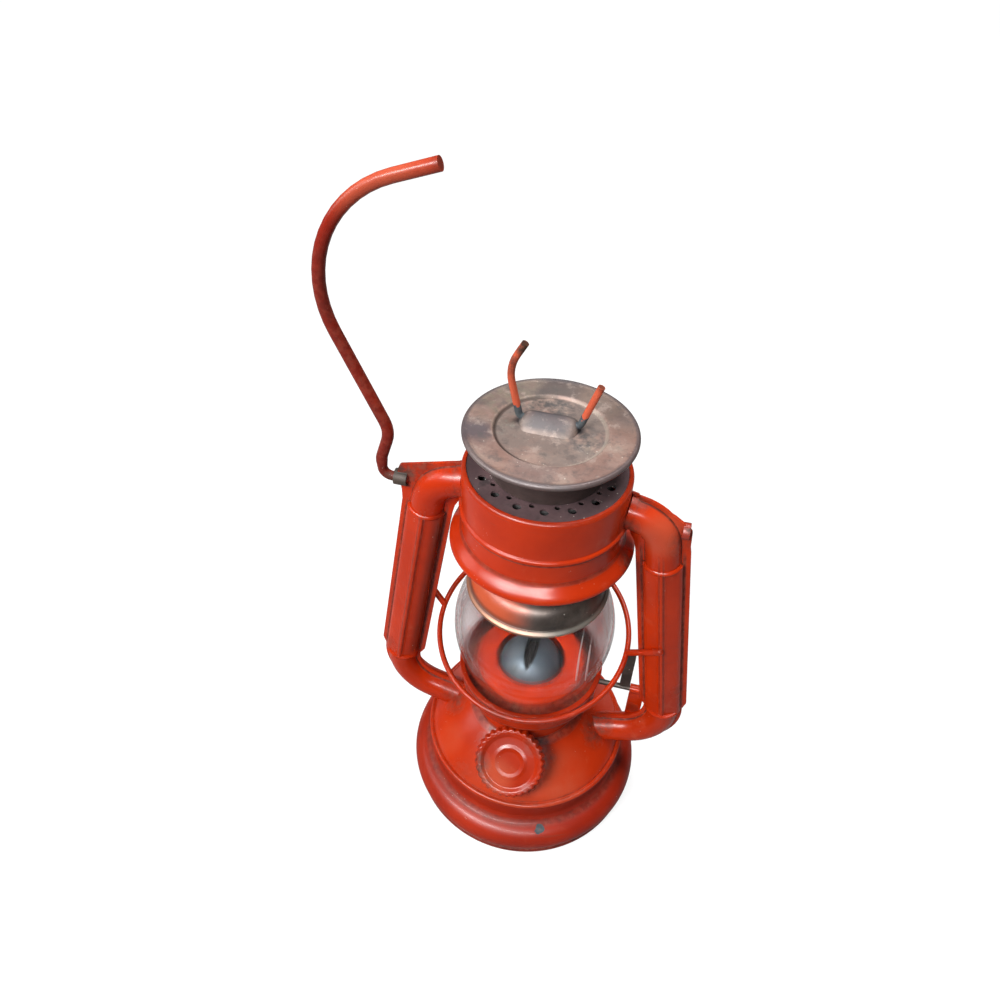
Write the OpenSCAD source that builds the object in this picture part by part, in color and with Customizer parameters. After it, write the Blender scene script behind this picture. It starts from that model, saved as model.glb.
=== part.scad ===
// Tubular kerosene lantern, standing on the crimped seam of its tank.
// The origin is the middle of the base on the floor, the filler cap faces -Y and the side tubes lie in XZ.

/* [Tank] */
// Radius of the tank's foot at its widest
tank_r = 52.2; // [48:0.1:60]
// Radius of the foot's rounded section
foot_round = 7.6; // [5:0.1:9]
// How far the upright wall stands in from the widest radius
waist_inset = 8.8; // [7:0.1:12]
// How far the base seam stands in from the widest radius
seam_inset = 1.4; // [0.5:0.1:4]
// Width of the base seam
seam_w = 2.4; // [1.5:0.1:4]
// Height of the base seam
seam_h = 3; // [2:0.1:5]
// Radius of the panel pressed down in the base
panel_r = 34; // [20:0.1:38]
// Height of the upright wall's top edge
tank_h = 28.4; // [24:0.1:36]
// Thickness of the pressed sheet
sheet = 0.8; // [0.5:0.05:1.2]
// Height of the crimped ridge
ridge_h = 1.2; // [0.8:0.1:2.5]
// How far the ridge stands out from the wall below it
ridge_out = 1; // [0.4:0.1:2]
// Height of the cone above the ridge
cone_h = 17.4; // [14:0.1:22]
// How far the cone swells above a straight line
cone_crown = 0.8; // [0:0.1:1.5]

/* [Collar and globe] */
// Outer radius of the collar above the cone
collar_r = 23; // [21:0.1:25]
// Width of the shoulder between the cone and the collar
collar_step = 3; // [1.5:0.1:5]
// Height of the collar above the cone
collar_h = 24.6; // [20:0.1:30]
// Width of the seat that is turned out at the collar's top
collar_seat = 3.4; // [2:0.1:4.5]
// Gap between the seat and the globe plate
seat_gap = 0.3; // [0.2:0.05:0.6]
// Radius of the globe plate's raised middle
plate_disc_r = 23.2; // [20:0.1:25]
// Height of the raised middle above the groove
plate_disc_h = 4.2; // [2:0.1:6]
// Inner width of the groove that holds the globe
plate_groove_w = 5.4; // [4:0.1:7]
// Height of the lip round the groove
plate_lip_h = 3.6; // [2:0.1:6]
// Width of the rolled rim outside the lip
plate_rim_w = 1.2; // [0.6:0.1:2]
// Depth of the skirt under the plate
plate_skirt_h = 6.4; // [4:0.1:9]
// Height of the globe
globe_h = 54; // [46:0.1:62]
// Outer radius of the globe's foot
globe_foot_r = 26.4; // [25:0.1:28]
// Outer radius of the globe's widest part
globe_belly_r = 32.7; // [29:0.1:36]
// Outer radius of the globe's top edge
globe_top_r = 25.2; // [23:0.1:27]
// Thickness of the glass
glass_t = 1.6; // [1:0.1:2.4]

/* [Hood] */
// How far the bell reaches down over the globe's top edge
bell_lap = 2.1; // [1:0.1:4]
// Clearance round the globe inside the bell's rim
bell_gap = 0.4; // [0.3:0.1:2]
// Thickness of the bell's rolled rim
bell_roll = 1.2; // [0.8:0.1:2]
// Height of the bell
bell_h = 21.6; // [16:0.1:26]
// Outer radius of the chimney
chimney_r = 19.2; // [16:0.1:21]
// Height of the brim's edge above the bell's rim
brim_rise = 25.4; // [18:0.1:30]
// Outer radius of the brim
brim_r = 34; // [32:0.1:37]
// Height of the flared brim
brim_h = 5.4; // [3:0.1:8]
// Outer radius of the hood cylinder
hood_r = 29.6; // [28:0.1:31.5]
// Height of the hood cylinder above the brim's edge
hood_h = 34; // [30:0.1:40]
// How far the bead stands out of the hood cylinder
bead_out = 0.9; // [0.4:0.1:1.5]
// Height of the bead above the brim's edge
bead_rise = 16.4; // [12:0.1:20]
// Height of the chamber's floor above the brim's edge
floor_rise = 13; // [12:0.1:14]
// Clearance of the chimney in its guides
guide_gap = 0.3; // [0.2:0.05:0.6]
// Depth of the vent plate below the hood's top
vent_drop = 0.3; // [0.2:0.05:0.6]
// Distance of the outer vent holes from the hood cylinder
vent_inset = 6.3; // [5.6:0.1:6.6]
// Number of vent holes in each row
vent_count = 16; // [8:1:20]
// Radius of the outer vent holes
vent_r = 1.5; // [1:0.1:2]
// Radius of the inner vent holes
vent_inner_r = 1; // [0.6:0.1:1.2]
// Height of the cap's rim above the hood cylinder
cap_rise = 16; // [12:0.1:20]
// Outer radius of the cap
cap_r = 29.6; // [27:0.1:32]
// Radius of the cap's rolled edge
cap_roll = 1.2; // [0.8:0.1:2]
// Radius of the shallow recess on the cap
recess_r = 18.4; // [15:0.1:21]
// Depth of the recess below the rim
recess_d = 1.4; // [0.8:0.1:2]
// Wire radius of the hood spring
spring_wire_r = 0.6; // [0.4:0.05:0.8]
// Number of turns of the hood spring
spring_turns = 4; // [3:1:6]

/* [Side tubes] */
// Outer radius of the round tube
tube_r = 6.4; // [5:0.1:7]
// Thickness of the tube's sheet
tube_sheet = 0.7; // [0.5:0.05:1]
// Height of the upper arm's start below the hood's top
arm_drop = 13; // [11:0.1:15]
// Distance of the upper corner from the hood cylinder
arm_reach = 12.2; // [10:0.1:16]
// Fall of the upper arm to its corner
arm_fall = 3.2; // [1:0.1:5]
// Distance of the lower corner from the ridge
foot_reach = 17; // [14:0.1:22]
// Height of the lower corner above the ridge
foot_rise = 16.2; // [13:0.1:20]
// Fall of the lower arm from its corner to its inner end
foot_fall = 9.6; // [6:0.1:12]
// Radius of the upper bend
upper_bend = 14; // [12:0.1:17]
// Radius of the lower bend
lower_bend = 20; // [17:0.1:23]
// Half width of the pressed column
column_w = 7.4; // [6.6:0.1:8.5]
// Half depth of the column at its shoulders
column_shoulder = 3.6; // [2.5:0.1:4.5]
// Half depth of the column at its middle
column_depth = 6.3; // [5.2:0.1:7]
// Width of the rib along the column
rib_w = 1; // [0.6:0.1:2]
// Height of the rib above the column
rib_h = 0.5; // [0.3:0.1:1]
// How far the lip at each end of the column stands out of the tube
lip_out = 1.4; // [1.3:0.1:2]
// Width of the lip
lip_w = 1.8; // [1:0.1:3]
// Half width of the seam flange along the arms
flange_w = 7.6; // [7.2:0.1:8.4]
// Half width of the seam flange along the column
column_flange = 9.8; // [8.8:0.1:10.2]
// Length of the slope at each end of the column's flange
flange_slope = 4; // [2:0.1:8]
// Thickness of each half's flange
flange_t = 0.6; // [0.4:0.05:1]
// How far the left ear reaches past the eyelet's inner end
ear_out = 4.8; // [3.6:0.1:5]
// Height of the left ear above the eyelet
ear_h = 6.4; // [5:0.1:7]
// How far the right ear reaches past the eyelet's inner end
stub_out = 2.4; // [2:0.1:3]
// Height of the right ear above the eyelet
stub_h = 2.4; // [2:0.1:3]
// Size of each ear's cut corner
ear_cut = 2; // [1:0.1:2.6]

/* [Bail and rings] */
// Distance of the eyelet's inner end from the upper corner
eyelet_out = 8; // [7.6:0.1:10]
// Length of the left eyelet, which holds the bail
eyelet_l = 6.5; // [5:0.1:9]
// Length of the right eyelet, which is empty
socket_l = 3.5; // [3:0.1:6]
// How much closer to the corner the right eyelet lies
socket_in = 0.9; // [0.3:0.1:1]
// Height of the eyelet below the upper corner
eyelet_drop = 2.1; // [1:0.1:4]
// Wall of the eyelet
eyelet_wall = 1.1; // [0.8:0.1:1.6]
// Radius of the bail's wire
bail_wire_r = 1.85; // [1.4:0.05:2.2]
// Running clearance of round pins
pin_gap = 0.08; // [0.05:0.01:0.1]
// Distance between the eyelet and the bail's upright
bail_gap = 2.5; // [2:0.1:5]
// Height of the bail's upright leg
bail_leg = 8; // [7:0.1:9]
// Height of the bail's inward kink
bail_kink_h = 21.5; // [18:0.1:26]
// Size of the inward kink
bail_kink = 4.2; // [2:0.1:5]
// Distance of the bail's shoulder outside its foot
bail_shoulder = 25.5; // [20:0.1:30]
// Height of the shoulder's corner
bail_shoulder_h = 96.8; // [80:0.1:110]
// Radius of the shoulder
bail_round = 32; // [26:0.1:36]
// Distance of the cut end inside the bail's foot
bail_end = 24.9; // [18:0.1:35]
// Height of the cut end
bail_end_h = 115.5; // [105:0.1:130]
// Radius of the guard ring
guard_r = 39; // [38:0.1:42]
// Wire radius of the guard ring
guard_wire_r = 0.9; // [0.7:0.05:1.3]
// Height of the guard ring's middle above the collar's top
guard_rise = 24.4; // [18:0.1:30]
// Slope of the guard ring, lower at the front
guard_tilt = 16; // [8:0.5:20]
// How far the guard rods climb from the ring to the tubes
guard_climb = 12; // [6:0.1:14]
// Radius of the lift ring's wire
lift_wire_r = 1.15; // [0.9:0.05:1.4]
// Distance of the lift ring's left foot from the middle
lift_left = 11.3; // [9:0.1:14]
// Distance of the lift ring's right foot from the middle
lift_right = 9; // [7:0.1:12]
// Height of the lift ring's left stub
lift_left_h = 28; // [20:0.1:36]
// Height of the lift ring's right stub
lift_right_h = 16.6; // [12:0.1:24]
// Distance of the lift ring behind the middle
lift_back = 3; // [0:0.1:6]

/* [Filler] */
// Radius of the filler cap's scalloped edge
filler_r = 14.5; // [13:0.1:15.5]
// Thickness of the scalloped edge
filler_rim = 3.2; // [2:0.1:4]
// Number of scallops
scallops = 30; // [20:1:40]
// Height of the cap's barrel
barrel_h = 6.6; // [5:0.1:7.5]
// Outer radius of the filler neck
neck_r = 10; // [8:0.1:10.5]
// Clearance between the neck and the barrel
neck_gap = 0.35; // [0.3:0.05:0.6]
// Angle of the filler's axis from upright
filler_tilt = 48; // [44:0.5:52]
// Distance of the filler from the middle, along the cone
filler_slope = 20.4; // [19.6:0.1:20.8]
// Height of the filler cap's face above the cone
filler_stand = 9.3; // [9.2:0.1:11]
// Depth of the dish in the cap's face
filler_dish = 0.9; // [0.5:0.1:1.4]
// Radius of the dish
dish_r = 11.8; // [11:0.1:12.4]
// Thickness of the cap's gasket
gasket_t = 1.2; // [0.8:0.1:2]

/* [Burner] */
// Outer radius of the burner's drum
burner_r = 11; // [10:0.1:12.5]
// Radius of the burner's dome
dome_r = 13.4; // [12:0.1:15]
// Height of the dome above the globe plate's groove
dome_h = 11; // [8:0.1:14]
// Gap between the dome and the globe plate
dome_gap = 1.2; // [0.8:0.1:2]
// Width of the wick
wick_w = 12; // [8:0.1:14]
// Thickness of the wick
wick_t = 2; // [1.5:0.1:2.6]
// Clearance round the wick in its tube
wick_gap = 0.35; // [0.3:0.05:0.6]
// Height of the wick shaft below the collar's top
shaft_drop = 13.6; // [12:0.1:15]
// Radius of the wick shaft
shaft_r = 1; // [0.8:0.05:1.4]
// Outer radius of the wick wheels
wheel_r = 3; // [2.6:0.1:3.2]
// Number of teeth of a wick wheel
wheel_teeth = 12; // [9:1:16]
// Radius of the wick knob
knob_r = 8; // [6:0.1:10]
// Thickness of the wick knob
knob_t = 4; // [3:0.1:6]
// Distance of the knob from the collar
knob_reach = 12; // [10:0.1:18]

/* [Lift lever] */
// Radius of the lever's shaft
lever_r = 1.2; // [1:0.05:1.5]
// Length of the crank under the plate's skirt
crank_l = 12; // [10:0.1:14]
// Distance of the lever's shaft behind the middle
lever_back = 4; // [3.6:0.1:5]
// Height of the thumb piece above the shaft
thumb_h = 24; // [16:0.1:25]
// Width of the thumb piece
thumb_w = 4.4; // [3:0.1:5]
// Thickness of the thumb piece
thumb_t = 1.6; // [1.2:0.1:2.2]
// Length of the bracket's rolled bearing
bearing_l = 6.4; // [5:0.1:7]

/* [Hidden] */
$fn = 96;

enamel = "orangered";
bare = "dimgray";
cut = 1;
contact = 0.05;
// The foot's round runs from under the tank up to the crease
foot_from = -48;
foot_to = 82;
foot_lift = 0.75;
crease_up = 1.4;
// Straight stretches are a little slimmer than the bends that they run into
joint_slim = 0.03;
joint_lap = 0.2;

// Heights, from the floor up
ridge_z = tank_h + ridge_h;
cone_top = ridge_z + cone_h;
collar_top = cone_top + collar_h;
plate_z = collar_top + seat_gap;
groove_z = plate_z + sheet;
globe_top = groove_z + globe_h;
bell_z = globe_top - bell_lap;
brim_z = bell_z + brim_rise;
floor_z = brim_z + floor_rise;
hood_top = brim_z + hood_h;
cap_z = hood_top + cap_rise;

// Radii of the tank
waist_r = tank_r - waist_inset;
ridge_r = waist_r + ridge_out;
seam_r = tank_r - seam_inset;
foot_z = seam_h + foot_round * foot_lift;

// Radii of the globe plate
groove_r = plate_disc_r + plate_groove_w;
plate_lip_r = groove_r + sheet;
plate_bore_r = dome_r + dome_gap;

function arc(c, r, a0, a1, n) =
    [for (i = [0:n]) let (a = a0 + (a1 - a0) * i / n) [c[0] + r * cos(a), c[1] + r * sin(a)]];
function reversed(p) = [for (i = [len(p) - 1:-1:0]) p[i]];
function unit(v) = v / norm(v);

// A planar wire or tube follows corner points in XZ, each corner rounded to its own radius
function turn(p, i) = acos(max(-1, min(1, unit(p[i] - p[i - 1]) * unit(p[i + 1] - p[i]))));
function side(p, i) = let (u = p[i] - p[i - 1], v = p[i + 1] - p[i]) u[0] * v[1] - u[1] * v[0] > 0 ? 1 : -1;
function inner(p, i) = i > 0 && i < len(p) - 1;
function tangent(p, r, i) = inner(p, i) ? r[i] * tan(turn(p, i) / 2) : 0;
function run_start(p, r, i) = p[i] + tangent(p, r, i) * unit(p[i + 1] - p[i]);
function run_end(p, r, i) = p[i + 1] - tangent(p, r, i + 1) * unit(p[i + 1] - p[i]);

module run(a, b) {
    d = b - a;
    translate([a[0], 0, a[1]])
        rotate([0, 90 - atan2(d[1], d[0]), 0])
            linear_extrude(norm(d))
                children();
}

module stretch(p, r, i) {
    $slim = joint_slim;
    d = joint_lap * unit(p[i + 1] - p[i]);
    run(run_start(p, r, i) - (inner(p, i) ? d : [0, 0]), run_end(p, r, i) + (inner(p, i + 1) ? d : [0, 0]))
        children();
}

module bend(p, r, i) {
    $slim = 0;
    u = unit(p[i] - p[i - 1]);
    start = p[i] - tangent(p, r, i) * u;
    centre = start + side(p, i) * r[i] * [-u[1], u[0]];
    first = atan2(start[1] - centre[1], start[0] - centre[0]);
    translate([centre[0], 0, centre[1]])
        rotate([90, 0, 0])
            rotate([0, 0, side(p, i) > 0 ? first : first - turn(p, i)])
                rotate_extrude(angle = turn(p, i))
                    translate([r[i], 0])
                        children();
}

module sweep(p, r, skip = -1) {
    for (i = [0:len(p) - 2])
        if (i != skip)
            stretch(p, r, i) children();
    for (i = [1:len(p) - 2])
        bend(p, r, i) children();
}

module rod(a, b, r) {
    d = b - a;
    translate(a)
        rotate([0, acos(d[2] / norm(d)), atan2(d[1], d[0])])
            cylinder(r = r, h = norm(d));
}

module ring(r0, r1, z0, z1) {
    rotate_extrude()
        polygon([[r0, z0], [r1, z0], [r1, z1], [r0, z1]]);
}

// Tank
function bowl_outline(t) = concat(
    [[0, seam_h], [tank_r - foot_round + (foot_round - t) * cos(foot_from), seam_h]],
    arc([tank_r - foot_round, foot_z], foot_round - t, foot_from, foot_to, 14),
    [[waist_r - t, foot_z + foot_round + crease_up], [waist_r - t, tank_h + t], [0, tank_h + t]]);

module tank_base() {
    color(enamel)
        rotate_extrude()
            polygon([[0, 0], [panel_r, 0], [panel_r + seam_h, seam_h - sheet],
                     [seam_r - seam_w, seam_h - sheet], [seam_r - seam_w, 0], [seam_r, 0], [seam_r, seam_h],
                     [panel_r + seam_h - sheet / 2, seam_h], [panel_r - sheet / 2, sheet], [0, sheet]]);
}

module tank_bowl() {
    color(enamel)
        difference() {
            rotate_extrude() polygon(bowl_outline(0));
            rotate_extrude() polygon(bowl_outline(sheet));
            translate([0, 0, seam_h - cut]) cylinder(r = waist_r - sheet, h = 2 * cut);
        }
}

function cone_line(t) =
    [for (i = [0:8]) let (s = i / 8)
        [ridge_r + (collar_r + collar_step - ridge_r) * s - t * sin(cone_slope),
         ridge_z + cone_h * s + cone_crown * 4 * s * (1 - s) - t * cos(cone_slope)]];
function shoulder_outline(t) = concat(
    [[0, tank_h - (t > 0 ? cut : 0)], [ridge_r - t, tank_h - (t > 0 ? cut : 0)]],
    cone_line(t),
    [[collar_r - t, cone_top + collar_step / 2], [collar_r - t, collar_top + (t > 0 ? cut : 0)],
     [0, collar_top + (t > 0 ? cut : 0)]]);

module tank_shoulder() {
    color(enamel)
        difference() {
            union() {
                rotate_extrude() polygon(shoulder_outline(0));
                ring(collar_r - sheet, collar_r + collar_seat, collar_top - sheet, collar_top);
            }
            rotate_extrude() polygon(shoulder_outline(sheet));
            arm_bore(1);
            arm_bore(-1);
            filler_axis() translate([0, 0, -filler_depth]) cylinder(r = neck_r, h = 2 * filler_depth);
            shaft_axis() cylinder(r = shaft_r + 3 * guide_gap, h = collar_r + cut);
        }
}

// The trunk leads air from both tubes under the burner
trunk_inset = 1;
trunk_rise = 1.5;
trunk_w = 2 * (burner_r - trunk_inset);
trunk_z = ridge_z + trunk_rise;
burner_seat = 2;
module air_trunk() {
    color(bare)
        intersection() {
            difference() {
                translate([-ridge_r, -trunk_w / 2, trunk_z]) cube([2 * ridge_r, trunk_w, cone_h]);
                translate([-ridge_r - cut, sheet - trunk_w / 2, trunk_z + sheet])
                    cube([2 * (ridge_r + cut), trunk_w - 2 * sheet, cone_h]);
                translate([0, 0, trunk_z - cut]) cylinder(r = burner_r - burner_seat, h = 3 * cut);
            }
            rotate_extrude() polygon(shoulder_outline(sheet));
            translate([0, 0, trunk_z]) cylinder(r = ridge_r, h = cone_top - trunk_z);
        }
}

// Filler
filler_depth = 12;
cone_slope = atan2(cone_h, ridge_r - collar_r - collar_step);
filler_foot = [ridge_r - filler_slope * cos(cone_slope), ridge_z + filler_slope * sin(cone_slope)];
filler_face = filler_foot + filler_stand * [sin(filler_tilt), cos(filler_tilt)];
barrel_r = neck_r + neck_gap;
face_in = filler_dish + sheet;
scallop_r = 1;
scallop_out = 0.4;

module filler_axis() {
    translate([0, -filler_face[0], filler_face[1]])
        rotate([filler_tilt, 0, 0])
            children();
}

module filler_neck() {
    color(enamel)
        filler_axis()
            difference() {
                translate([0, 0, -filler_depth])
                    cylinder(r = neck_r, h = filler_depth - face_in - gasket_t - contact);
                translate([0, 0, -filler_depth - cut]) cylinder(r = neck_r - sheet, h = filler_depth + cut);
            }
}

module filler_cap() {
    color(enamel)
        filler_axis()
            difference() {
                union() {
                    translate([0, 0, -barrel_h]) cylinder(r = barrel_r + sheet, h = barrel_h);
                    translate([0, 0, -filler_rim]) cylinder(r = filler_r, h = filler_rim - sheet);
                    translate([0, 0, -sheet]) cylinder(r1 = filler_r, r2 = filler_r - sheet, h = sheet);
                }
                translate([0, 0, -barrel_h - cut]) cylinder(r = barrel_r, h = barrel_h + cut - face_in);
                translate([0, 0, -filler_dish]) cylinder(r1 = dish_r - sheet, r2 = dish_r, h = filler_dish);
                for (i = [0:scallops - 1])
                    rotate([0, 0, 360 * i / scallops])
                        translate([filler_r + scallop_out, 0, -filler_rim - cut])
                            cylinder(r = scallop_r, h = filler_rim + 2 * cut);
            }
}

module cap_gasket() {
    color("black")
        filler_axis()
            translate([0, 0, -face_in - gasket_t])
                difference() {
                    cylinder(r = barrel_r - guide_gap, h = gasket_t);
                    translate([0, 0, -cut]) cylinder(r = neck_r / 2, h = gasket_t + 2 * cut);
                }
}

// Burner and wick
drum_drop = 5;
seat_h = 4;
seat_floor = 1;
slot_gap = 1.3;
slot_end = 3.6;
wick_below = 3;
wick_bare = 2;
wick_clear = 8;
drum_top = groove_z - drum_drop;
burner_foot = trunk_z + sheet + seat_floor;
shaft_z = collar_top - shaft_drop;
shaft_x = wick_t / 2 + wick_gap + wheel_r;
tube_in = [wick_t + 2 * wick_gap, wick_w + 2 * wick_gap];
tube_out = tube_in + 2 * sheet * [1, 1];
wick_top = groove_z + dome_h - wick_below;
wick_foot = seam_h + wick_clear;

module shaft_axis() {
    translate([shaft_x, 0, shaft_z])
        rotate([-90, 0, 0])
            children();
}

module burner_collar() {
    color("goldenrod")
        difference() {
            ring(burner_r - burner_seat, burner_r + burner_seat, trunk_z + sheet, trunk_z + sheet + seat_h);
            translate([0, 0, burner_foot]) cylinder(r = burner_r, h = seat_h);
            translate([-ridge_r, -ridge_r - trunk_w / 2 + sheet, trunk_z])
                cube([2 * ridge_r, ridge_r, cone_h]);
            translate([-ridge_r, trunk_w / 2 - sheet, trunk_z]) cube([2 * ridge_r, ridge_r, cone_h]);
        }
}

module burner_body() {
    foot = burner_foot;
    color("goldenrod")
        difference() {
            intersection() {
                union() {
                    translate([0, 0, foot]) cylinder(r = burner_r, h = drum_top - foot);
                    translate([0, 0, drum_top - sheet]) cylinder(r = dome_r, h = sheet);
                }
                union() {
                    translate([0, 0, cone_top]) cylinder(r = dome_r, h = collar_h);
                    translate([-ridge_r, sheet - trunk_w / 2, 0])
                        cube([2 * ridge_r, trunk_w - 2 * sheet, cone_top]);
                }
            }
            translate([0, 0, foot + sheet])
                cylinder(r = burner_r - 2 * sheet, h = drum_top - foot - 2 * sheet);
            translate([-tube_out[0] / 2, -tube_out[1] / 2, foot - cut])
                cube([tube_out[0], tube_out[1], drum_top]);
            shaft_axis() translate([0, 0, -burner_r - cut])
                cylinder(r = shaft_r + pin_gap, h = 2 * (burner_r + cut));
        }
}

module burner_dome() {
    color(bare)
        difference() {
            rotate_extrude() polygon(dome_outline(0));
            rotate_extrude() polygon(dome_outline(sheet));
            translate([-tube_in[0] / 2 - slot_gap, -tube_in[1] / 2 - slot_end, groove_z + sheet])
                cube([tube_in[0] + 2 * slot_gap, tube_in[1] + 2 * slot_end, dome_h]);
        }
}

function dome_outline(t) = concat(
    [[0, drum_top - (t > 0 ? cut : 0)], [dome_r - t, drum_top - (t > 0 ? cut : 0)]],
    [for (i = [0:10]) let (a = 9 * i) [(dome_r - t) * cos(a), groove_z + (dome_h - t) * sin(a)]]);

module wick_tube() {
    foot = burner_foot;
    top = wick_top - wick_bare;
    color("goldenrod")
        difference() {
            translate([-tube_out[0] / 2, -tube_out[1] / 2, foot])
                cube([tube_out[0], tube_out[1], top - foot]);
            translate([-tube_in[0] / 2, -tube_in[1] / 2, foot - cut])
                cube([tube_in[0], tube_in[1], top - foot + 2 * cut]);
            translate([0, -wick_w / 2, shaft_z - wheel_r - cut])
                cube([tube_out[0], wick_w, 2 * (wheel_r + cut)]);
        }
}

module wick() {
    color("wheat")
        translate([-wick_t / 2, -wick_w / 2, wick_foot])
            cube([wick_t, wick_w, wick_top - wick_foot]);
}

knob_y = collar_r + collar_seat + knob_reach;
module wick_shaft() {
    color("silver")
        shaft_axis()
            translate([0, 0, -burner_r])
                cylinder(r = shaft_r, h = burner_r + knob_y);
}

module wick_wheels() {
    wheel_t = 1.6;
    tooth_h = 0.7;
    color("silver")
        for (s = [-1, 1])
            shaft_axis()
                translate([0, 0, s * wick_w / 4 - wheel_t / 2])
                    difference() {
                        linear_extrude(wheel_t)
                            polygon([for (i = [0:2 * wheel_teeth - 1])
                                let (a = 180 * i / wheel_teeth, r = i % 2 == 0 ? wheel_r : wheel_r - tooth_h)
                                    [r * cos(a), r * sin(a)]]);
                        translate([0, 0, -cut]) cylinder(r = shaft_r, h = wheel_t + 2 * cut);
                    }
}

module wick_knob() {
    flutes = 18;
    flute_r = 1;
    flute_out = 0.3;
    color("silver")
        shaft_axis()
            translate([0, 0, knob_y - knob_t])
                difference() {
                    union() {
                        cylinder(r = knob_r, h = knob_t);
                        translate([0, 0, -knob_t / 2]) cylinder(r = 2.5 * shaft_r, h = knob_t / 2);
                    }
                    translate([0, 0, -knob_t]) cylinder(r = shaft_r, h = 2 * knob_t);
                    for (i = [0:flutes - 1])
                        rotate([0, 0, 360 * i / flutes])
                            translate([knob_r + flute_out, 0, -cut])
                                cylinder(r = flute_r, h = knob_t + 2 * cut);
                }
}

// Globe and its plate
module globe_plate() {
    edge = 1;
    rim = plate_lip_r + plate_rim_w;
    top = groove_z + plate_disc_h;
    lip = groove_z + plate_lip_h;
    color(enamel)
        rotate_extrude()
            polygon([[plate_bore_r, top], [plate_disc_r - edge, top], [plate_disc_r, top - edge],
                     [plate_disc_r, groove_z], [groove_r, groove_z], [groove_r, lip], [rim, lip],
                     [rim, lip - sheet], [plate_lip_r, lip - sheet], [plate_lip_r, plate_z - plate_skirt_h],
                     [groove_r, plate_z - plate_skirt_h], [groove_r, plate_z],
                     [plate_disc_r - sheet, plate_z], [plate_disc_r - sheet, top - sheet],
                     [plate_bore_r, top - sheet]]);
}

globe_skew = 1.15;
function globe_radius(s) = globe_foot_r + (globe_top_r - globe_foot_r) * s
    + (globe_belly_r - (globe_foot_r + globe_top_r) / 2) * sin(180 * pow(s, globe_skew));
function globe_line(t) = [for (i = [0:24]) [globe_radius(i / 24) - t, groove_z + globe_h * i / 24]];

module globe() {
    color("lightcyan", 0.35)
        rotate_extrude()
            polygon(concat(globe_line(0), reversed(globe_line(glass_t))));
}

// Path of the right side tube
arm_in = 3;
foot_in = 14.4;
arm_z = hood_top - arm_drop;
upper_corner = [hood_r + arm_reach, arm_z - arm_fall];
lower_corner = [ridge_r + foot_reach, ridge_z + foot_rise];
tube_path = [[hood_r - arm_in, arm_z], upper_corner, lower_corner,
             [ridge_r - foot_in, lower_corner[1] - foot_fall]];
tube_bends = [0, upper_bend, lower_bend, 0];

// Lift lever
bearing_inset = 17.6;
lever_z = plate_z - plate_skirt_h - lever_r - contact;
lever_in = plate_lip_r - sheet / 2;
bearing_in = lower_corner[0] - bearing_inset;
thumb_x = bearing_in - thumb_w - guide_gap;

module lift_lever() {
    crank_x = sqrt(pow(lever_in, 2) - pow(crank_l - lever_back, 2));
    color(bare) {
        rod([crank_x - lever_r, lever_back, lever_z], [bearing_in + bearing_l, lever_back, lever_z], lever_r);
        rod([crank_x, lever_back, lever_z], [crank_x, lever_back - crank_l, lever_z], lever_r);
        translate([thumb_x, lever_back - thumb_t / 2, lever_z])
            cube([thumb_w, thumb_t, thumb_h - thumb_w / 2]);
        translate([thumb_x + thumb_w / 2, lever_back + thumb_t / 2, lever_z + thumb_h - thumb_w / 2])
            rotate([90, 0, 0])
                cylinder(d = thumb_w, h = thumb_t);
    }
}

module lever_bracket() {
    bearing_r = lever_r + pin_gap + sheet;
    bracket_z = lower_corner[1] - foot_fall / 2;
    color(enamel)
        difference() {
            union() {
                rod([bearing_in, lever_back, lever_z], [bearing_in + bearing_l, lever_back, lever_z],
                    bearing_r);
                translate([bearing_in, lever_back - sheet / 2, bracket_z])
                    cube([bearing_l, sheet, lever_z - bracket_z]);
            }
            rod([bearing_in - cut, lever_back, lever_z], [bearing_in + bearing_l + cut, lever_back, lever_z],
                lever_r + pin_gap);
            tube_solid(0);
            rotate_extrude() polygon(shoulder_outline(0));
        }
}

// Side tubes: the right one is drawn, the left one is its mirror image
column_a = run_start(tube_path, tube_bends, 1);
column_b = run_end(tube_path, tube_bends, 1);
column_dir = unit(column_b - column_a);
eyelet_in = upper_corner[0] + eyelet_out;
eyelet_end = eyelet_in + eyelet_l;
socket_from = eyelet_in - socket_in;
socket_end = socket_from + socket_l;
pivot_z = upper_corner[1] - eyelet_drop;
eyelet_bore = bail_wire_r + pin_gap;

shoulder_in = 0.8;
module column_section(t) {
    w = column_w - t;
    s = column_shoulder - t;
    d = column_depth - t;
    m = w - shoulder_in;
    polygon([[-w, 0], [-m, s], [0, d], [m, s], [w, 0], [m, -s], [0, -d], [-m, -s]]);
}

// The column's end joints lie inside the lips
lap = joint_lap * column_dir;
module tube_solid(t) {
    sweep(tube_path, tube_bends, 1) circle(tube_r - t - $slim);
    run(column_a + lap, column_b - lap) column_section(t);
}

module tube_bore() {
    bore_r = tube_r - tube_sheet;
    tube_solid(tube_sheet);
    run(column_a - lap, column_a + 3 * lap) circle(bore_r - joint_slim);
    run(column_b - 3 * lap, column_b + lap) circle(bore_r - joint_slim);
}

module arm_bore(s) {
    mirror([s > 0 ? 0 : 1, 0, 0]) {
        run(tube_path[0], run_end(tube_path, tube_bends, 0)) circle(tube_r - tube_sheet);
        run(run_start(tube_path, tube_bends, 2), tube_path[3]) circle(tube_r - tube_sheet);
    }
}

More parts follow.
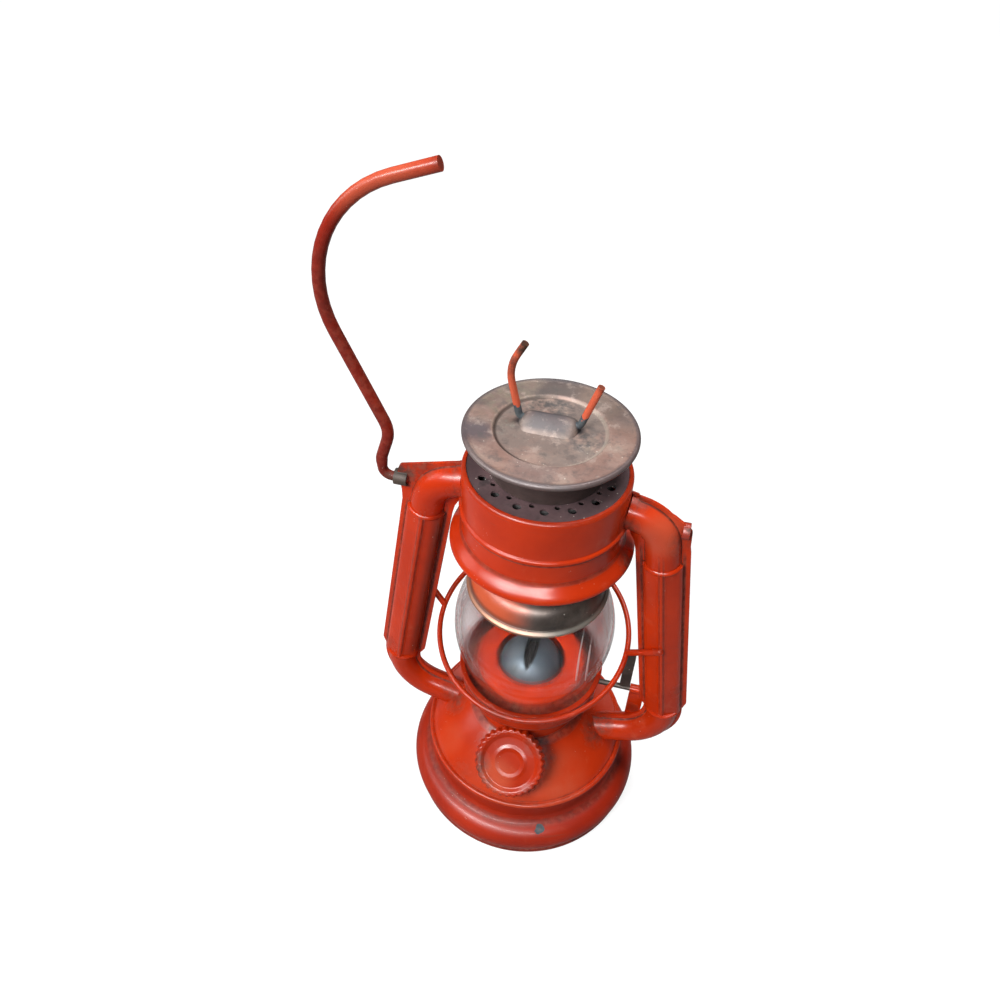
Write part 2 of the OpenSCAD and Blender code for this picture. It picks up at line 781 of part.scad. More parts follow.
module tube_flange(reach, height) {
    ear = [reach, pivot_z];
    across = [-column_dir[1], column_dir[0]];
    slope = flange_slope * column_dir;
    sweep(tube_path, tube_bends, 1) square(2 * [flange_w - $slim, flange_t - $slim], center = true);
    rotate([90, 0, 0])
        linear_extrude(2 * (flange_t + joint_slim), center = true) {
            polygon([column_a - flange_w * across, column_a + slope - column_flange * across,
                     column_b - slope - column_flange * across, column_b - flange_w * across,
                     column_b + flange_w * across, column_b - slope + column_flange * across,
                     column_a + slope + column_flange * across, column_a + flange_w * across]);
            polygon([upper_corner, upper_corner + [0, height + ear_cut / 2], ear + [-1.5 * ear_cut, height],
                     ear + [-ear_cut / 2, height - 0.4 * ear_cut], ear + [0, height - 1.2 * ear_cut], ear,
                     column_a + [flange_w, -flange_slope], column_a]);
        }
}

module tube_half(face, hole, reach, height) {
    far = 2 * (lower_corner[0] + hood_top);
    intersection() {
        difference() {
            union() {
                tube_solid(0);
                run(column_a - 2 * lap, column_a + lip_w * column_dir) circle(tube_r + lip_out);
                run(column_b - lip_w * column_dir, column_b + 2 * lap) circle(tube_r + lip_out);
                run(column_a + lap, column_b - lap)
                    square([rib_w, 2 * (column_depth + rib_h)], center = true);
                tube_flange(reach, height);
            }
            tube_bore();
            translate([0, 0, brim_z]) cylinder(r = hood_r, h = hood_h);
            rotate_extrude() polygon(shoulder_outline(0));
            cylinder(r = waist_r - sheet, h = ridge_z);
            rod([hole, 0, pivot_z], [reach + eyelet_l, 0, pivot_z], eyelet_bore + eyelet_wall);
        }
        translate([0, face < 0 ? -far : 0, 0]) cube([far, far, far]);
    }
}

module right_half(face) { tube_half(face, socket_from, eyelet_in + stub_out, stub_h); }
module left_half(face) { mirror([1, 0, 0]) tube_half(face, eyelet_in, eyelet_in + ear_out, ear_h); }
module right_tube_front() { color(enamel) right_half(-1); }
module right_tube_back() { color(enamel) right_half(1); }
module left_tube_front() { color(enamel) left_half(-1); }
module left_tube_back() { color(enamel) left_half(1); }

// Bail and its eyelets
module bail_eyelets() {
    color("saddlebrown")
        for (e = [[-eyelet_in, -eyelet_end], [socket_from, socket_end]])
            difference() {
                rod([e[0], 0, pivot_z], [e[1], 0, pivot_z], eyelet_bore + eyelet_wall);
                rod([e[0] - sign(e[0]) * cut, 0, pivot_z], [e[1] + sign(e[0]) * cut, 0, pivot_z],
                    eyelet_bore);
            }
}

pin_inset = 1;
kink_low_r = 9;
kink_high_r = 14;
bail_x = -(eyelet_end + bail_gap + bail_wire_r);
bail_path = [[-eyelet_in - pin_inset, pivot_z], [bail_x, pivot_z], [bail_x, pivot_z + bail_leg],
             [bail_x + bail_kink, pivot_z + bail_kink_h], [bail_x - bail_shoulder, pivot_z + bail_shoulder_h],
             [bail_x + bail_end, pivot_z + bail_end_h]];
bail_bends = [0, 2 * bail_wire_r, kink_low_r, kink_high_r, bail_round, 0];

module bail() {
    color(enamel)
        sweep(bail_path, bail_bends) circle(bail_wire_r - $slim);
}

// Guard ring, held to the right tube's front rib and to the left tube's back rib
guard_z = collar_top + guard_rise;
function column_x(z) = column_a[0] + (column_a[1] - z) * column_dir[0] / -column_dir[1];
guard_slim = 0.1;
guard_turn = -3;
guard_rod_r = guard_wire_r - guard_slim;
rod_y = column_depth + rib_h + guard_rod_r + contact;
rod_end = [column_x(guard_z + guard_climb) + rib_w / 2, -rod_y, guard_z + guard_climb];
function guard_point(a) =
    guard_r * [cos(a), sin(a) * cos(guard_tilt), sin(a) * sin(guard_tilt)] + [0, 0, guard_z];

module guard_ring() {
    color(enamel) {
        translate([0, 0, guard_z])
            rotate([guard_tilt, 0, 0])
                rotate_extrude()
                    translate([guard_r, 0])
                        circle(guard_wire_r);
        rod(guard_point(guard_turn), rod_end, guard_rod_r);
        rod(guard_point(guard_turn + 180), [-rod_end[0], -rod_end[1], rod_end[2]], guard_rod_r);
    }
}

// Hood chamber: the skirt with the brim is joined to the chamber's wall at the bead
vent_z = hood_top - vent_drop - sheet;
rim_r = hood_r - 2 * sheet;
bead_z = brim_z + bead_rise;
bead_r = 1.2 * bead_out;
bead_c = [hood_r + bead_out - bead_r, bead_z];

module hood_skirt() {
    brim_blend = 0.6;
    brim_in = 1;
    color(enamel)
        difference() {
            rotate_extrude()
                polygon(concat(
                    [[brim_r - 2 * sheet, brim_z], [brim_r, brim_z], [brim_r, brim_z + sheet],
                     [hood_r + brim_in, brim_z + brim_h - brim_blend],
                     [hood_r, brim_z + brim_h + brim_blend]],
                    arc(bead_c, bead_r, -80, 0, 4),
                    [[hood_r - sheet, bead_z], [hood_r - sheet, brim_z + brim_h],
                     [hood_r, brim_z + brim_h - 2 * sheet]]));
            arm_bore(1);
            arm_bore(-1);
        }
}

module air_chamber() {
    top_round = 1.6;
    color(enamel)
        difference() {
            rotate_extrude()
                polygon(concat(
                    [[hood_r - sheet, bead_z]],
                    arc(bead_c, bead_r, 0, 80, 4),
                    arc([hood_r - top_round, hood_top - top_round], top_round, 0, 90, 6),
                    [[rim_r, hood_top], [rim_r, vent_z - sheet], [hood_r - sheet, vent_z - 2 * sheet]]));
            arm_bore(1);
            arm_bore(-1);
        }
}

vent_phase = 0.4;
vent_edge = 0.6;
module vent_plate() {
    color(bare)
        difference() {
            ring(chimney_r + guide_gap, rim_r, vent_z, vent_z + sheet);
            for (i = [0:vent_count - 1])
                rotate([0, 0, 360 * (i + vent_phase) / vent_count]) {
                    translate([hood_r - vent_inset, 0, brim_z]) cylinder(r = vent_r, h = hood_h + cut);
                    rotate([0, 0, 180 / vent_count])
                        translate([chimney_r + guide_gap + vent_edge + vent_inner_r, 0, brim_z])
                            cylinder(r = vent_inner_r, h = hood_h + cut);
                }
        }
}

module chamber_floor() {
    color(bare)
        ring(chimney_r + guide_gap, hood_r - sheet, floor_z - sheet, floor_z);
}

// Hood: the cap, chimney and bell lift together
neck_foot = vent_z + sheet + guide_gap;
neck_flare = 1.7;
cap_edge_z = cap_z - cap_roll;
neck_top_r = cap_r - 2 * cap_roll;

function neck_line(t) =
    [for (i = [0:10]) let (s = i / 10)
        [chimney_r + sheet + (neck_top_r - chimney_r - sheet) * pow(s, neck_flare) - t,
         neck_foot + (cap_edge_z - neck_foot) * s]];

lift_axis_z = cap_z - recess_d + lift_wire_r + guide_gap;
lift_bend = 2.4;

module hood_cap() {
    cap_dip = 0.5;
    recess_slope = 0.8;
    bridge_gap = 0.3;
    plate_top = cap_z - cap_dip;
    bridge_l = lift_left + lift_right - 2 * (lift_bend + bridge_gap);
    bridge_x = (lift_right - lift_left - bridge_l) / 2;
    bridge_r = lift_wire_r + pin_gap + sheet;
    hump_w = 7.6;
    hump_a = 40;
    hump_z = cap_z - recess_d - sheet;
    crest = [bridge_r * cos(hump_a), lift_axis_z - hump_z + bridge_r * sin(hump_a)];
    color("rosybrown")
        difference() {
            union() {
                rotate_extrude()
                    polygon(concat(neck_line(0), arc([cap_r - cap_roll, cap_edge_z], cap_roll, -120, 110, 10),
                        [[cap_r - 2 * cap_roll, plate_top], [recess_r + recess_slope, plate_top],
                         [recess_r, cap_z - recess_d], [0, cap_z - recess_d], [0, cap_z - recess_d - sheet],
                         [neck_top_r - 2 * sheet, cap_z - recess_d - sheet]],
                        reversed(neck_line(sheet))));
                translate([0, lift_back, 0])
                    rod([bridge_x, 0, lift_axis_z], [bridge_x + bridge_l, 0, lift_axis_z], bridge_r);
                translate([bridge_x, lift_back, hump_z])
                    rotate([90, 0, 90])
                        linear_extrude(bridge_l)
                            polygon([[-hump_w / 2, 0], [hump_w / 2, 0], crest, [-crest[0], crest[1]]]);
            }
            translate([0, lift_back, 0])
                rod([bridge_x - cut, 0, lift_axis_z], [bridge_x + bridge_l + cut, 0, lift_axis_z],
                    lift_wire_r + pin_gap);
        }
}

module lift_ring() {
    tip = 0.4;
    bow = 5;
    bow_at = 0.62;
    bow_r = 9;
    lean = 5.4;
    path = [[tip - lift_left, lift_axis_z + lift_left_h],
            [-lift_left - bow, lift_axis_z + bow_at * lift_left_h],
            [-lift_left, lift_axis_z], [lift_right, lift_axis_z],
            [lift_right + lean, lift_axis_z + lift_right_h]];
    color(enamel)
        translate([0, lift_back, 0])
            sweep(path, [0, bow_r, lift_bend, lift_bend, 0]) circle(lift_wire_r - $slim);
}

bell_top = bell_z + bell_h;
module chimney() {
    color(bare)
        ring(chimney_r - sheet, chimney_r, bell_top - 3 * sheet, neck_foot + 4 * sheet);
}

module bell() {
    dome_lap = 0.4;
    rim_step = 0.6;
    rim_in = globe_radius((bell_z - groove_z) / globe_h) + bell_gap;
    rim_out = rim_in + bell_roll;
    dome = globe_top_r + dome_lap;
    dome_z = globe_top + guide_gap + sheet;
    dome_up = bell_top - dome_z;
    color(bare)
        rotate_extrude()
            polygon(concat(
                [[rim_in, bell_z]],
                arc([rim_out - bell_roll / 2, bell_z + bell_roll / 2], bell_roll / 2, -60, 90, 5),
                [[rim_out - bell_roll / 2, dome_z - rim_step], [dome, dome_z]],
                [for (i = [1:9]) let (a = 10 * i)
                    [chimney_r + (dome - chimney_r) * cos(a), dome_z + dome_up * sin(a)]],
                [[chimney_r, bell_top - sheet]],
                [for (i = [8:-1:1]) let (a = 10 * i)
                    [chimney_r + (dome - sheet - chimney_r) * cos(a), dome_z + (dome_up - sheet) * sin(a)]],
                [[dome - sheet, globe_top + guide_gap], [rim_in, globe_top + guide_gap]]));
}

collar_z = floor_z + guide_gap;
spring_seat = 4.6;
spring_stand = 2.4;
module spring_collar() {
    color(bare)
        ring(chimney_r, chimney_r + spring_seat, collar_z, collar_z + sheet);
}

// The spring's tube: rings of six points along a helix
spring_r = chimney_r + spring_stand;
spring_z0 = collar_z + sheet + spring_wire_r + contact;
spring_z1 = vent_z - spring_wire_r - contact;
spring_rings = 24 * spring_turns;
function spring_point(i) = [spring_r * cos(15 * i), spring_r * sin(15 * i),
                            spring_z0 + (spring_z1 - spring_z0) * i / spring_rings];
function spring_ring(i) = [for (k = [0:5]) let (r = spring_r + spring_wire_r * cos(60 * k))
    [r * cos(15 * i), r * sin(15 * i), spring_point(i)[2] + spring_wire_r * sin(60 * k)]];
spring_gap = min([for (i = [0:spring_rings - 24], j = [i + 12:spring_rings])
    norm(spring_point(i) - spring_point(j))]) - 2 * spring_wire_r;
echo(spring_gap = spring_gap);

module hood_spring() {
    points = [for (i = [0:spring_rings]) each spring_ring(i)];
    last = 6 * spring_rings;
    sides = [for (i = [0:spring_rings - 1], k = [0:5], h = [0, 1])
        let (a = 6 * i + k, b = 6 * i + (k + 1) % 6) h == 0 ? [a, a + 6, b] : [b, a + 6, b + 6]];
    ends = [for (k = [1:4], h = [0, 1]) h == 0 ? [0, k, k + 1] : [last, last + k + 1, last + k]];
    color("silver")
        polyhedron(points, concat(sides, ends));
}

tank_base();
tank_bowl();
tank_shoulder();
air_trunk();
filler_neck();
filler_cap();
cap_gasket();
burner_collar();
burner_body();
burner_dome();
wick_tube();
wick();
wick_shaft();
wick_wheels();
wick_knob();
globe_plate();
globe();
lift_lever();
lever_bracket();
guard_ring();
left_tube_front();
left_tube_back();
right_tube_front();
right_tube_back();
bail_eyelets();
bail();
hood_skirt();
air_chamber();
vent_plate();
chamber_floor();
hood_cap();
lift_ring();
chimney();
bell();
spring_collar();
hood_spring();
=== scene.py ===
import bpy
from math import atan2, cos, degrees, pi, radians, sin, sqrt, tan
from mathutils import Matrix, Vector


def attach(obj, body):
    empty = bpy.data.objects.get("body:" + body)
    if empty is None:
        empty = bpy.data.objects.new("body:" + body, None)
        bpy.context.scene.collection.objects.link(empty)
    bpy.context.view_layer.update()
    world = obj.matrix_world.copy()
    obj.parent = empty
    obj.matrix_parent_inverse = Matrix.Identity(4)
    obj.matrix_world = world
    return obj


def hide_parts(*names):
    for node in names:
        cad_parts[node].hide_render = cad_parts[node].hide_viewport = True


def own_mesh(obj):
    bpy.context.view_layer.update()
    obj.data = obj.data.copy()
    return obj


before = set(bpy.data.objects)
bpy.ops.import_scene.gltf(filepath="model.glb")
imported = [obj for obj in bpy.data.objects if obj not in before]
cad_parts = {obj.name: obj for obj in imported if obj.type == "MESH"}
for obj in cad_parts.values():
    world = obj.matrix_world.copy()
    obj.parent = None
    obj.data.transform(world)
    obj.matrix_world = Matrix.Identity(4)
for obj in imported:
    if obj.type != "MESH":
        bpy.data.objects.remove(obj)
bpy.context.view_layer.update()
mm = 0.001
print("frame loaded:", len(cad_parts), "nodes")


# shader maths

class Sock:
    def __init__(self, tree, socket):
        self.tree = tree
        self.socket = socket

    def make(self, kind, settings=None, inputs=None, out=0):
        node = self.tree.nodes.new(kind)
        for key, value in (settings or {}).items():
            setattr(node, key, value)
        for key, value in (inputs or {}).items():
            if isinstance(value, Sock):
                self.tree.links.new(value.socket, node.inputs[key])
            else:
                node.inputs[key].default_value = value
        return Sock(self.tree, node.outputs[out])

    def math(self, operation, first, second):
        return self.make("ShaderNodeMath", {"operation": operation}, {0: first, 1: second})

    def __add__(self, other):
        return self.math("ADD", self, other)

    def __sub__(self, other):
        return self.math("SUBTRACT", self, other)

    def __rsub__(self, other):
        return self.math("SUBTRACT", other, self)

    def __mul__(self, other):
        return self.math("MULTIPLY", self, other)

    def __pow__(self, other):
        return self.math("POWER", self, other)

    __radd__, __rmul__ = __add__, __mul__

    def most(self, other):
        return self.math("MAXIMUM", self, other)

    def size(self):
        return self.make("ShaderNodeMath", {"operation": "ABSOLUTE"}, {0: self})

    def wave(self):
        return self.make("ShaderNodeMath", {"operation": "SINE"}, {0: self})

    def step(self, low, high):  # smooth ramp from 0 at low to 1 at high
        return self.make("ShaderNodeMapRange", {"interpolation_type": "SMOOTHSTEP"},
                         {"Value": self, "From Min": low, "From Max": high})

    def mix(self, first, second):  # this mask mixes two colours
        return self.make("ShaderNodeMix", {"data_type": "RGBA"}, {0: self, 6: first, 7: second}, 2)

    def noise(self, scale, detail=4.0, rough=0.55, stretch=None):
        where = self
        if stretch:
            where = self.make("ShaderNodeMapping", {}, {"Vector": self, "Scale": stretch})
        return self.make("ShaderNodeTexNoise", {}, {"Vector": where, "Scale": scale, "Detail": detail,
                                                    "Roughness": rough})

    def cells(self, scale):
        return self.make("ShaderNodeTexVoronoi", {}, {"Vector": self, "Scale": scale})

    def near(self, spot, reach):  # 1 round a spot given in mm, falling to 0 at its reach
        away = self.make("ShaderNodeVectorMath", {"operation": "DISTANCE"},
                         {0: self, 1: Vector(spot) * mm}, "Value")
        return away.step(reach * mm, 0.3 * reach * mm)


def rgb(red, green, blue):  # a colour as it shows, from 0 to 255
    def linear(c):
        c = c / 255
        return c / 12.92 if c <= 0.04045 else ((c + 0.055) / 1.055) ** 2.4
    return (linear(red), linear(green), linear(blue), 1)


def newMaterial(name):
    material = bpy.data.materials.new(name)
    material.use_nodes = True
    tree = material.node_tree
    shader = tree.nodes["Principled BSDF"]
    place = Sock(tree, tree.nodes.new("ShaderNodeTexCoord").outputs["Object"])
    return material, shader, place


def feed(shader, **links):
    names = {"color": "Base Color", "rough": "Roughness", "metal": "Metallic", "coat": "Coat Weight",
             "normal": "Normal", "alpha": "Alpha"}
    for key, value in links.items():
        socket = shader.inputs[names[key]]
        if isinstance(value, Sock):
            value.tree.links.new(value.socket, socket)
        else:
            socket.default_value = value


def setInputs(shader, values):  # plain values of the shader
    for key, value in values.items():
        shader.inputs[key].default_value = value


def bumped(height, strength, depth):  # depth in mm
    return height.make("ShaderNodeBump", {}, {"Strength": strength, "Distance": depth * mm, "Height": height})


def axesOf(place):  # x, y and z in mm
    split = place.tree.nodes.new("ShaderNodeSeparateXYZ")
    place.tree.links.new(place.socket, split.inputs[0])
    return [Sock(place.tree, split.outputs[i]) * 1000 for i in range(3)]


enamelLook = {"orange": (204, 54, 12), "deep": (146, 28, 6), "pale": (214, 104, 74), "grimeAndShade": (54, 32, 26),
              "dust": (116, 66, 52), "chip": (86, 94, 97), "chipDark": (64, 70, 76), "rust": (76, 44, 28),
              "fleck": (226, 190, 170)}
enamelGloss = {"Specular IOR Level": 0.2, "Coat Weight": 0.04, "Coat Roughness": 0.1}


# shade and fade are shares of deep and pale colour, a spot is (place, reach, amount)
def enamelMaterial(name, shade=0.0, fade=0.0, matt=0.0, fadeAndSheenSpots=(), grimeAndShadeBands=(), grimeSpots=(), rustSpots=(),
                   chips=(), crease=0.0, column=None):
    look = {key: rgb(*value) for key, value in enamelLook.items()}
    material, shader, place = newMaterial(name)
    x, y, z = axesOf(place)
    cloud = place.noise(38, 5)
    fine = place.noise(420, 4, 0.6)
    patches = place.noise(110, 6, 0.65)
    blots = place.noise(240, 5, 0.68)
    color = (cloud.step(0.3, 0.72) * 0.4 + shade).mix(look["orange"], look["deep"])
    color = (patches.step(0.58, 0.76) * 0.25 + fade).mix(color, look["pale"])
    if column:  # painted shade down the inner side of the left column
        along = z.step(column["low"], column["low"] + 6) * z.step(column["high"], column["high"] - 6)
        off = x.size() + z * column["lean"] - column["axis"]
        inner = off.step(-2.6, -6.0) * x.step(-20, -30) * y.size().step(0.66, 1.0) * along * (patches * 0.6 + 0.5)
        color = (inner * 0.8).mix(color, look["grimeAndShade"])
    # pale spots: faded paint, and painted sheen where light falls
    for spot, reach, amount in fadeAndSheenSpots:
        color = (place.near(spot, reach) * amount * cloud.step(0.2, 0.6)).mix(color, look["pale"])
    # dirt blots; the rings, spots, crease and column lines below join this mask, and some of them are painted shade
    dirtAndShade = blots.step(0.66, 0.78) * patches.step(0.5, 0.64) * 0.3
    for low, high, soft, amount, keep in grimeAndShadeBands:  # a darker ring by height: grime, and painted shade under beads and in channels; keep is its even share
        band = z.step(low - soft, low) * z.step(high + soft, high) * amount
        dirtAndShade = dirtAndShade.most(band * (keep + (1 - keep) * blots.step(0.36, 0.68)))
    for spot, reach, amount in grimeSpots:
        dirtAndShade = dirtAndShade.most(place.near(spot, reach) * amount * (blots * 0.6 + fine * 0.4).step(0.34, 0.62))
    if crease:  # painted shade in the crease beside the flange at y 0
        depth = y.size()
        dirtAndShade = dirtAndShade.most(depth.step(0.64, 0.72) * depth.step(2.0, 0.9) * crease * blots.step(0.2, 0.5))
    if column:  # painted shade: dark lines on the flange along the column and beside its rib
        away = off.size()
        line = away.step(7.0, 7.4) * away.step(8.7, 7.9) * 0.7
        line = line.most(away.step(0.3, 0.6) * away.step(1.4, 0.9) * y.size().step(4.5, 5.5) * 0.45)
        dirtAndShade = dirtAndShade.most(line * along * blots.step(0.1, 0.5))
    color = dirtAndShade.mix(color, fine.step(0.42, 0.6).mix(look["grimeAndShade"], look["dust"]))
    rust = dirtAndShade * 0
    for spot, reach, amount in rustSpots:
        rust = rust.most(place.near(spot, reach) * amount * fine.step(0.25, 0.55))
    color = rust.mix(color, patches.step(0.35, 0.65).mix(look["rust"], look["grimeAndShade"]))
    bare = dirtAndShade * 0
    for spot, reach in chips:
        ragged = place.near(spot, reach) + (blots * 0.4 + fine * 0.6 - 0.5) * 3
        bare = bare.most(ragged.step(0.5, 0.62) * place.near(spot, reach * 1.3).step(0, 0.2))
    color = bare.mix(color, fine.step(0.3, 0.7).mix(look["chip"], look["chipDark"]))
    flecks = place.cells(620).step(0.12, 0.07) * place.noise(140, 2).step(0.6, 0.66)
    color = (flecks * 0.7).mix(color, look["fleck"])
    scratch = place.noise(60, 3, 0.5, (1, 1, 14)).step(0.66, 0.69) * place.noise(25, 2).step(0.5, 0.6)
    color = (scratch * 0.25).mix(color, look["dust"])
    rough = 0.17 + matt + cloud * 0.1 + dirtAndShade * 0.35 + rust * 0.45 + bare * 0.3 + flecks * 0.2 + fine * 0.05
    height = patches * 0.45 + fine * 0.12 - bare * 0.7 + dirtAndShade * fine * 0.8
    feed(shader, color=color, rough=rough, normal=bumped(height, 0.3, 0.12))
    setInputs(shader, enamelGloss)
    return material


metalLook = {
    "rust": {"light": (158, 131, 120), "mid": (128, 101, 92), "dark": (80, 71, 70), "rough": 0.52, "metal": 0.3},
    "vent": {"light": (112, 85, 87), "mid": (88, 66, 69), "dark": (48, 37, 40), "rough": 0.55, "metal": 0.3},
    "dull": {"light": (88, 102, 113), "mid": (60, 70, 78), "dark": (33, 37, 39), "rough": 0.42, "metal": 0.55},
    "dark": {"light": (96, 84, 76), "mid": (58, 50, 46), "dark": (30, 26, 25), "rough": 0.42, "metal": 0.5},
    "brown": {"light": (78, 60, 46), "mid": (52, 40, 32), "dark": (26, 21, 18), "rough": 0.6, "metal": 0.25},
    "soot": {"light": (38, 34, 34), "mid": (26, 23, 23), "dark": (13, 12, 12), "rough": 0.8, "metal": 0.05},
    "brass": {"light": (160, 132, 80), "mid": (118, 94, 56), "dark": (66, 52, 32), "rough": 0.42, "metal": 0.8},
}
metalFleck = (214, 206, 194)


def metalMaterial(name, look, dust=0.0, dustColor=(150, 136, 122), extra=None):
    tones = metalLook[look]
    light, mid, dark = (rgb(*tones[key]) for key in ("light", "mid", "dark"))
    material, shader, place = newMaterial(name)
    cloud = place.noise(46, 6, 0.62)
    fine = place.noise(380, 5, 0.65)
    blotch = place.noise(120, 5, 0.6)
    color = cloud.step(0.34, 0.64).mix(mid, light)
    color = (blotch.step(0.55, 0.72) * 0.8).mix(color, dark)
    color = (fine.step(0.5, 0.75) * 0.35).mix(color, dark)
    metal = tones["metal"] - blotch.step(0.5, 0.7) * tones["metal"] * 0.5
    rough = tones["rough"] + fine * 0.2 - cloud * 0.1
    if dust:
        film = cloud.step(0.38, 0.66) * blotch.step(0.35, 0.6) * dust
        color = film.mix(color, rgb(*dustColor))
        metal = metal * (1 - film)
        rough = rough + film * 0.3
        flecks = place.cells(520).step(0.15, 0.08) * place.noise(90, 2).step(0.52, 0.6)
        color = (flecks * 0.85).mix(color, rgb(*metalFleck))
    if extra:
        color, metal, rough = extra(place, color, metal, rough)
    feed(shader, color=color, rough=rough, metal=metal, normal=bumped(fine * 0.6 + blotch * 0.7, 0.4, 0.15))
    return material


# mesh helpers, sizes in mm

def clearSelection():
    if bpy.context.object and bpy.context.object.mode == "EDIT":
        bpy.ops.object.mode_set(mode="OBJECT")
    bpy.ops.object.select_all(action="DESELECT")


def pickOnly(piece):
    clearSelection()
    piece.select_set(True)
    bpy.context.view_layer.objects.active = piece


def nameBoth(piece, name):  # the object and its mesh
    piece.name = piece.data.name = name


def extrudeBy(offset):  # the selected part, in mm
    bpy.ops.mesh.extrude_region_move(TRANSFORM_OT_translate={"value": Vector(offset) * mm})


def startDot(name, point):  # a plane merged to one vertex, ready to extrude
    clearSelection()
    bpy.ops.mesh.primitive_plane_add(size=mm)
    piece = bpy.context.object
    nameBoth(piece, name)
    bpy.ops.object.mode_set(mode="EDIT")
    bpy.ops.mesh.select_mode(type="VERT")
    bpy.ops.mesh.select_all(action="SELECT")
    bpy.ops.mesh.merge(type="CENTER")
    bpy.ops.transform.translate(value=Vector(point) * mm)
    return piece


def drawLoop(name, points):  # a closed loop of edges
    piece = startDot(name, points[0])
    ring = list(points) + [points[0]]
    for a, b in zip(ring, ring[1:]):
        extrudeBy(Vector(b) - Vector(a))
    bpy.ops.mesh.select_all(action="SELECT")
    bpy.ops.mesh.remove_doubles(threshold=1e-7)
    bpy.ops.mesh.select_all(action="SELECT")
    return piece


def tidyMesh():
    bpy.ops.mesh.select_all(action="SELECT")
    bpy.ops.mesh.remove_doubles(threshold=2e-6)
    bpy.ops.mesh.normals_make_consistent(inside=False)
    bpy.ops.object.mode_set(mode="OBJECT")


def closeEnds():
    bpy.ops.mesh.select_all(action="SELECT")
    bpy.ops.mesh.fill_holes(sides=0)
    tidyMesh()


def rounded(corners, segments=5):  # corners (x, z) or (x, z, radius) of a closed outline
    line = []
    count = len(corners)
    for i, corner in enumerate(corners):
        p = Vector(corner[:2])
        radius = corner[2] if len(corner) > 2 else 0
        if not radius:
            line.append(p)
            continue
        a = Vector(corners[i - 1][:2]) - p
        b = Vector(corners[(i + 1) % count][:2]) - p
        half = a.angle(b) / 2
        cut = min(radius / tan(half), 0.49 * a.length, 0.49 * b.length)
        radius = cut * tan(half)
        start = p + a.normalized() * cut
        centre = p + (a.normalized() + b.normalized()).normalized() * (radius / sin(half))
        spoke = start - centre
        swing = pi - 2 * half
        turn = -1 if a.x * b.y - a.y * b.x > 0 else 1
        for k in range(segments + 1):
            angle = turn * swing * k / segments
            line.append(centre + Vector((spoke.x * cos(angle) - spoke.y * sin(angle),
                                         spoke.x * sin(angle) + spoke.y * cos(angle))))
    return line


def pressed(name, outline, front, back):  # a flat outline in XZ given its thickness along Y
    piece = drawLoop(name, [(p[0], back, p[1]) for p in outline])
    bpy.ops.mesh.edge_face_add()
    extrudeBy((0, front - back, 0))
    tidyMesh()
    return piece


def turned(name, outline, steps):  # an outline (radius, height) turned round the upright axis
    piece = drawLoop(name, [(p[0], 0, p[1]) for p in outline])
    bpy.ops.mesh.spin(steps=steps, angle=2 * pi, center=(0, 0, 0), axis=(0, 0, 1))
    tidyMesh()
    return piece


def frameAlong(direction):  # two directions square to a path in the XZ plane
    d = Vector(direction).normalized()
    across = Vector((0, 1, 0)).cross(d).normalized()
    return across, d.cross(across) * -1


# a section (across, towards -Y) swept round corners; grow resizes it from a corner on
def sweep(name, corners, bends, section, stepAngle=6, grow=None):
    path = [Vector(c) if len(c) == 3 else Vector((c[0], 0, c[1])) for c in corners]
    across, depth = frameAlong(path[1] - path[0])
    piece = drawLoop(name, [path[0] + across * u + depth * v for u, v in section])
    here = path[0]
    for i in range(1, len(path)):
        way = (path[i] - path[i - 1]).normalized()
        turnBy = cut = 0
        if i < len(path) - 1:
            nextWay = (path[i + 1] - path[i]).normalized()
            turnBy = way.angle(nextWay)
            cut = bends[i] * tan(turnBy / 2)
        stop = path[i] - way * cut
        extrudeBy(stop - here)
        here = stop
        if grow and i in grow:
            bpy.ops.transform.resize(value=(grow[i],) * 3, center_override=here * mm)
        if turnBy > 0.001:
            axis = way.cross(nextWay).normalized()
            centre = stop + axis.cross(way) * bends[i]
            bpy.ops.mesh.spin(steps=max(3, int(degrees(turnBy) / stepAngle)), angle=-turnBy,
                              center=centre * mm, axis=axis)
            here = path[i] + nextWay * cut
    closeEnds()
    return piece


def circle(radius, sides):
    return [(radius * cos(2 * pi * k / sides), radius * sin(2 * pi * k / sides)) for k in range(sides)]


def arcPoints(cx, cz, radius, first, last, count):
    return [(cx + radius * cos(radians(first + (last - first) * k / count)),
             cz + radius * sin(radians(first + (last - first) * k / count))) for k in range(count + 1)]


def useModifier(piece, kind, **settings):
    bpy.context.view_layer.objects.active = piece
    modifier = piece.modifiers.new(kind.title(), kind)
    for key, value in settings.items():
        setattr(modifier, key, value)
    bpy.ops.object.modifier_apply(modifier=modifier.name)


def bevelEdges(piece, width, segments, angle=30):
    useModifier(piece, "BEVEL", width=width * mm, segments=segments, limit_method="ANGLE", angle_limit=radians(angle))


def joined(name, pieces):
    clearSelection()
    for piece in pieces:
        piece.select_set(True)
    bpy.context.view_layer.objects.active = pieces[0]
    bpy.ops.object.join()
    nameBoth(pieces[0], name)
    return pieces[0]


def mirror(piece, axis):
    piece.data.transform(Matrix.Scale(-1, 4, axis))
    piece.data.flip_normals()


def flipped(piece, name, axis):  # a mirrored copy with its own mesh
    copy = piece.copy()
    copy.data = piece.data.copy()
    nameBoth(copy, name)
    bpy.context.collection.objects.link(copy)
    mirror(copy, axis)
    return copy


def fixTransform(piece):
    pickOnly(piece)
    bpy.ops.object.transform_apply(location=True, rotation=True, scale=True)


def finishPiece(piece, body, nodes, material, angle=38):
    pickOnly(piece)
    piece.data.materials.clear()
    piece.data.materials.append(material)
    bpy.ops.object.shade_smooth_by_angle(angle=radians(angle))
    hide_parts(*nodes)
    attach(piece, body)
    return piece


# tank

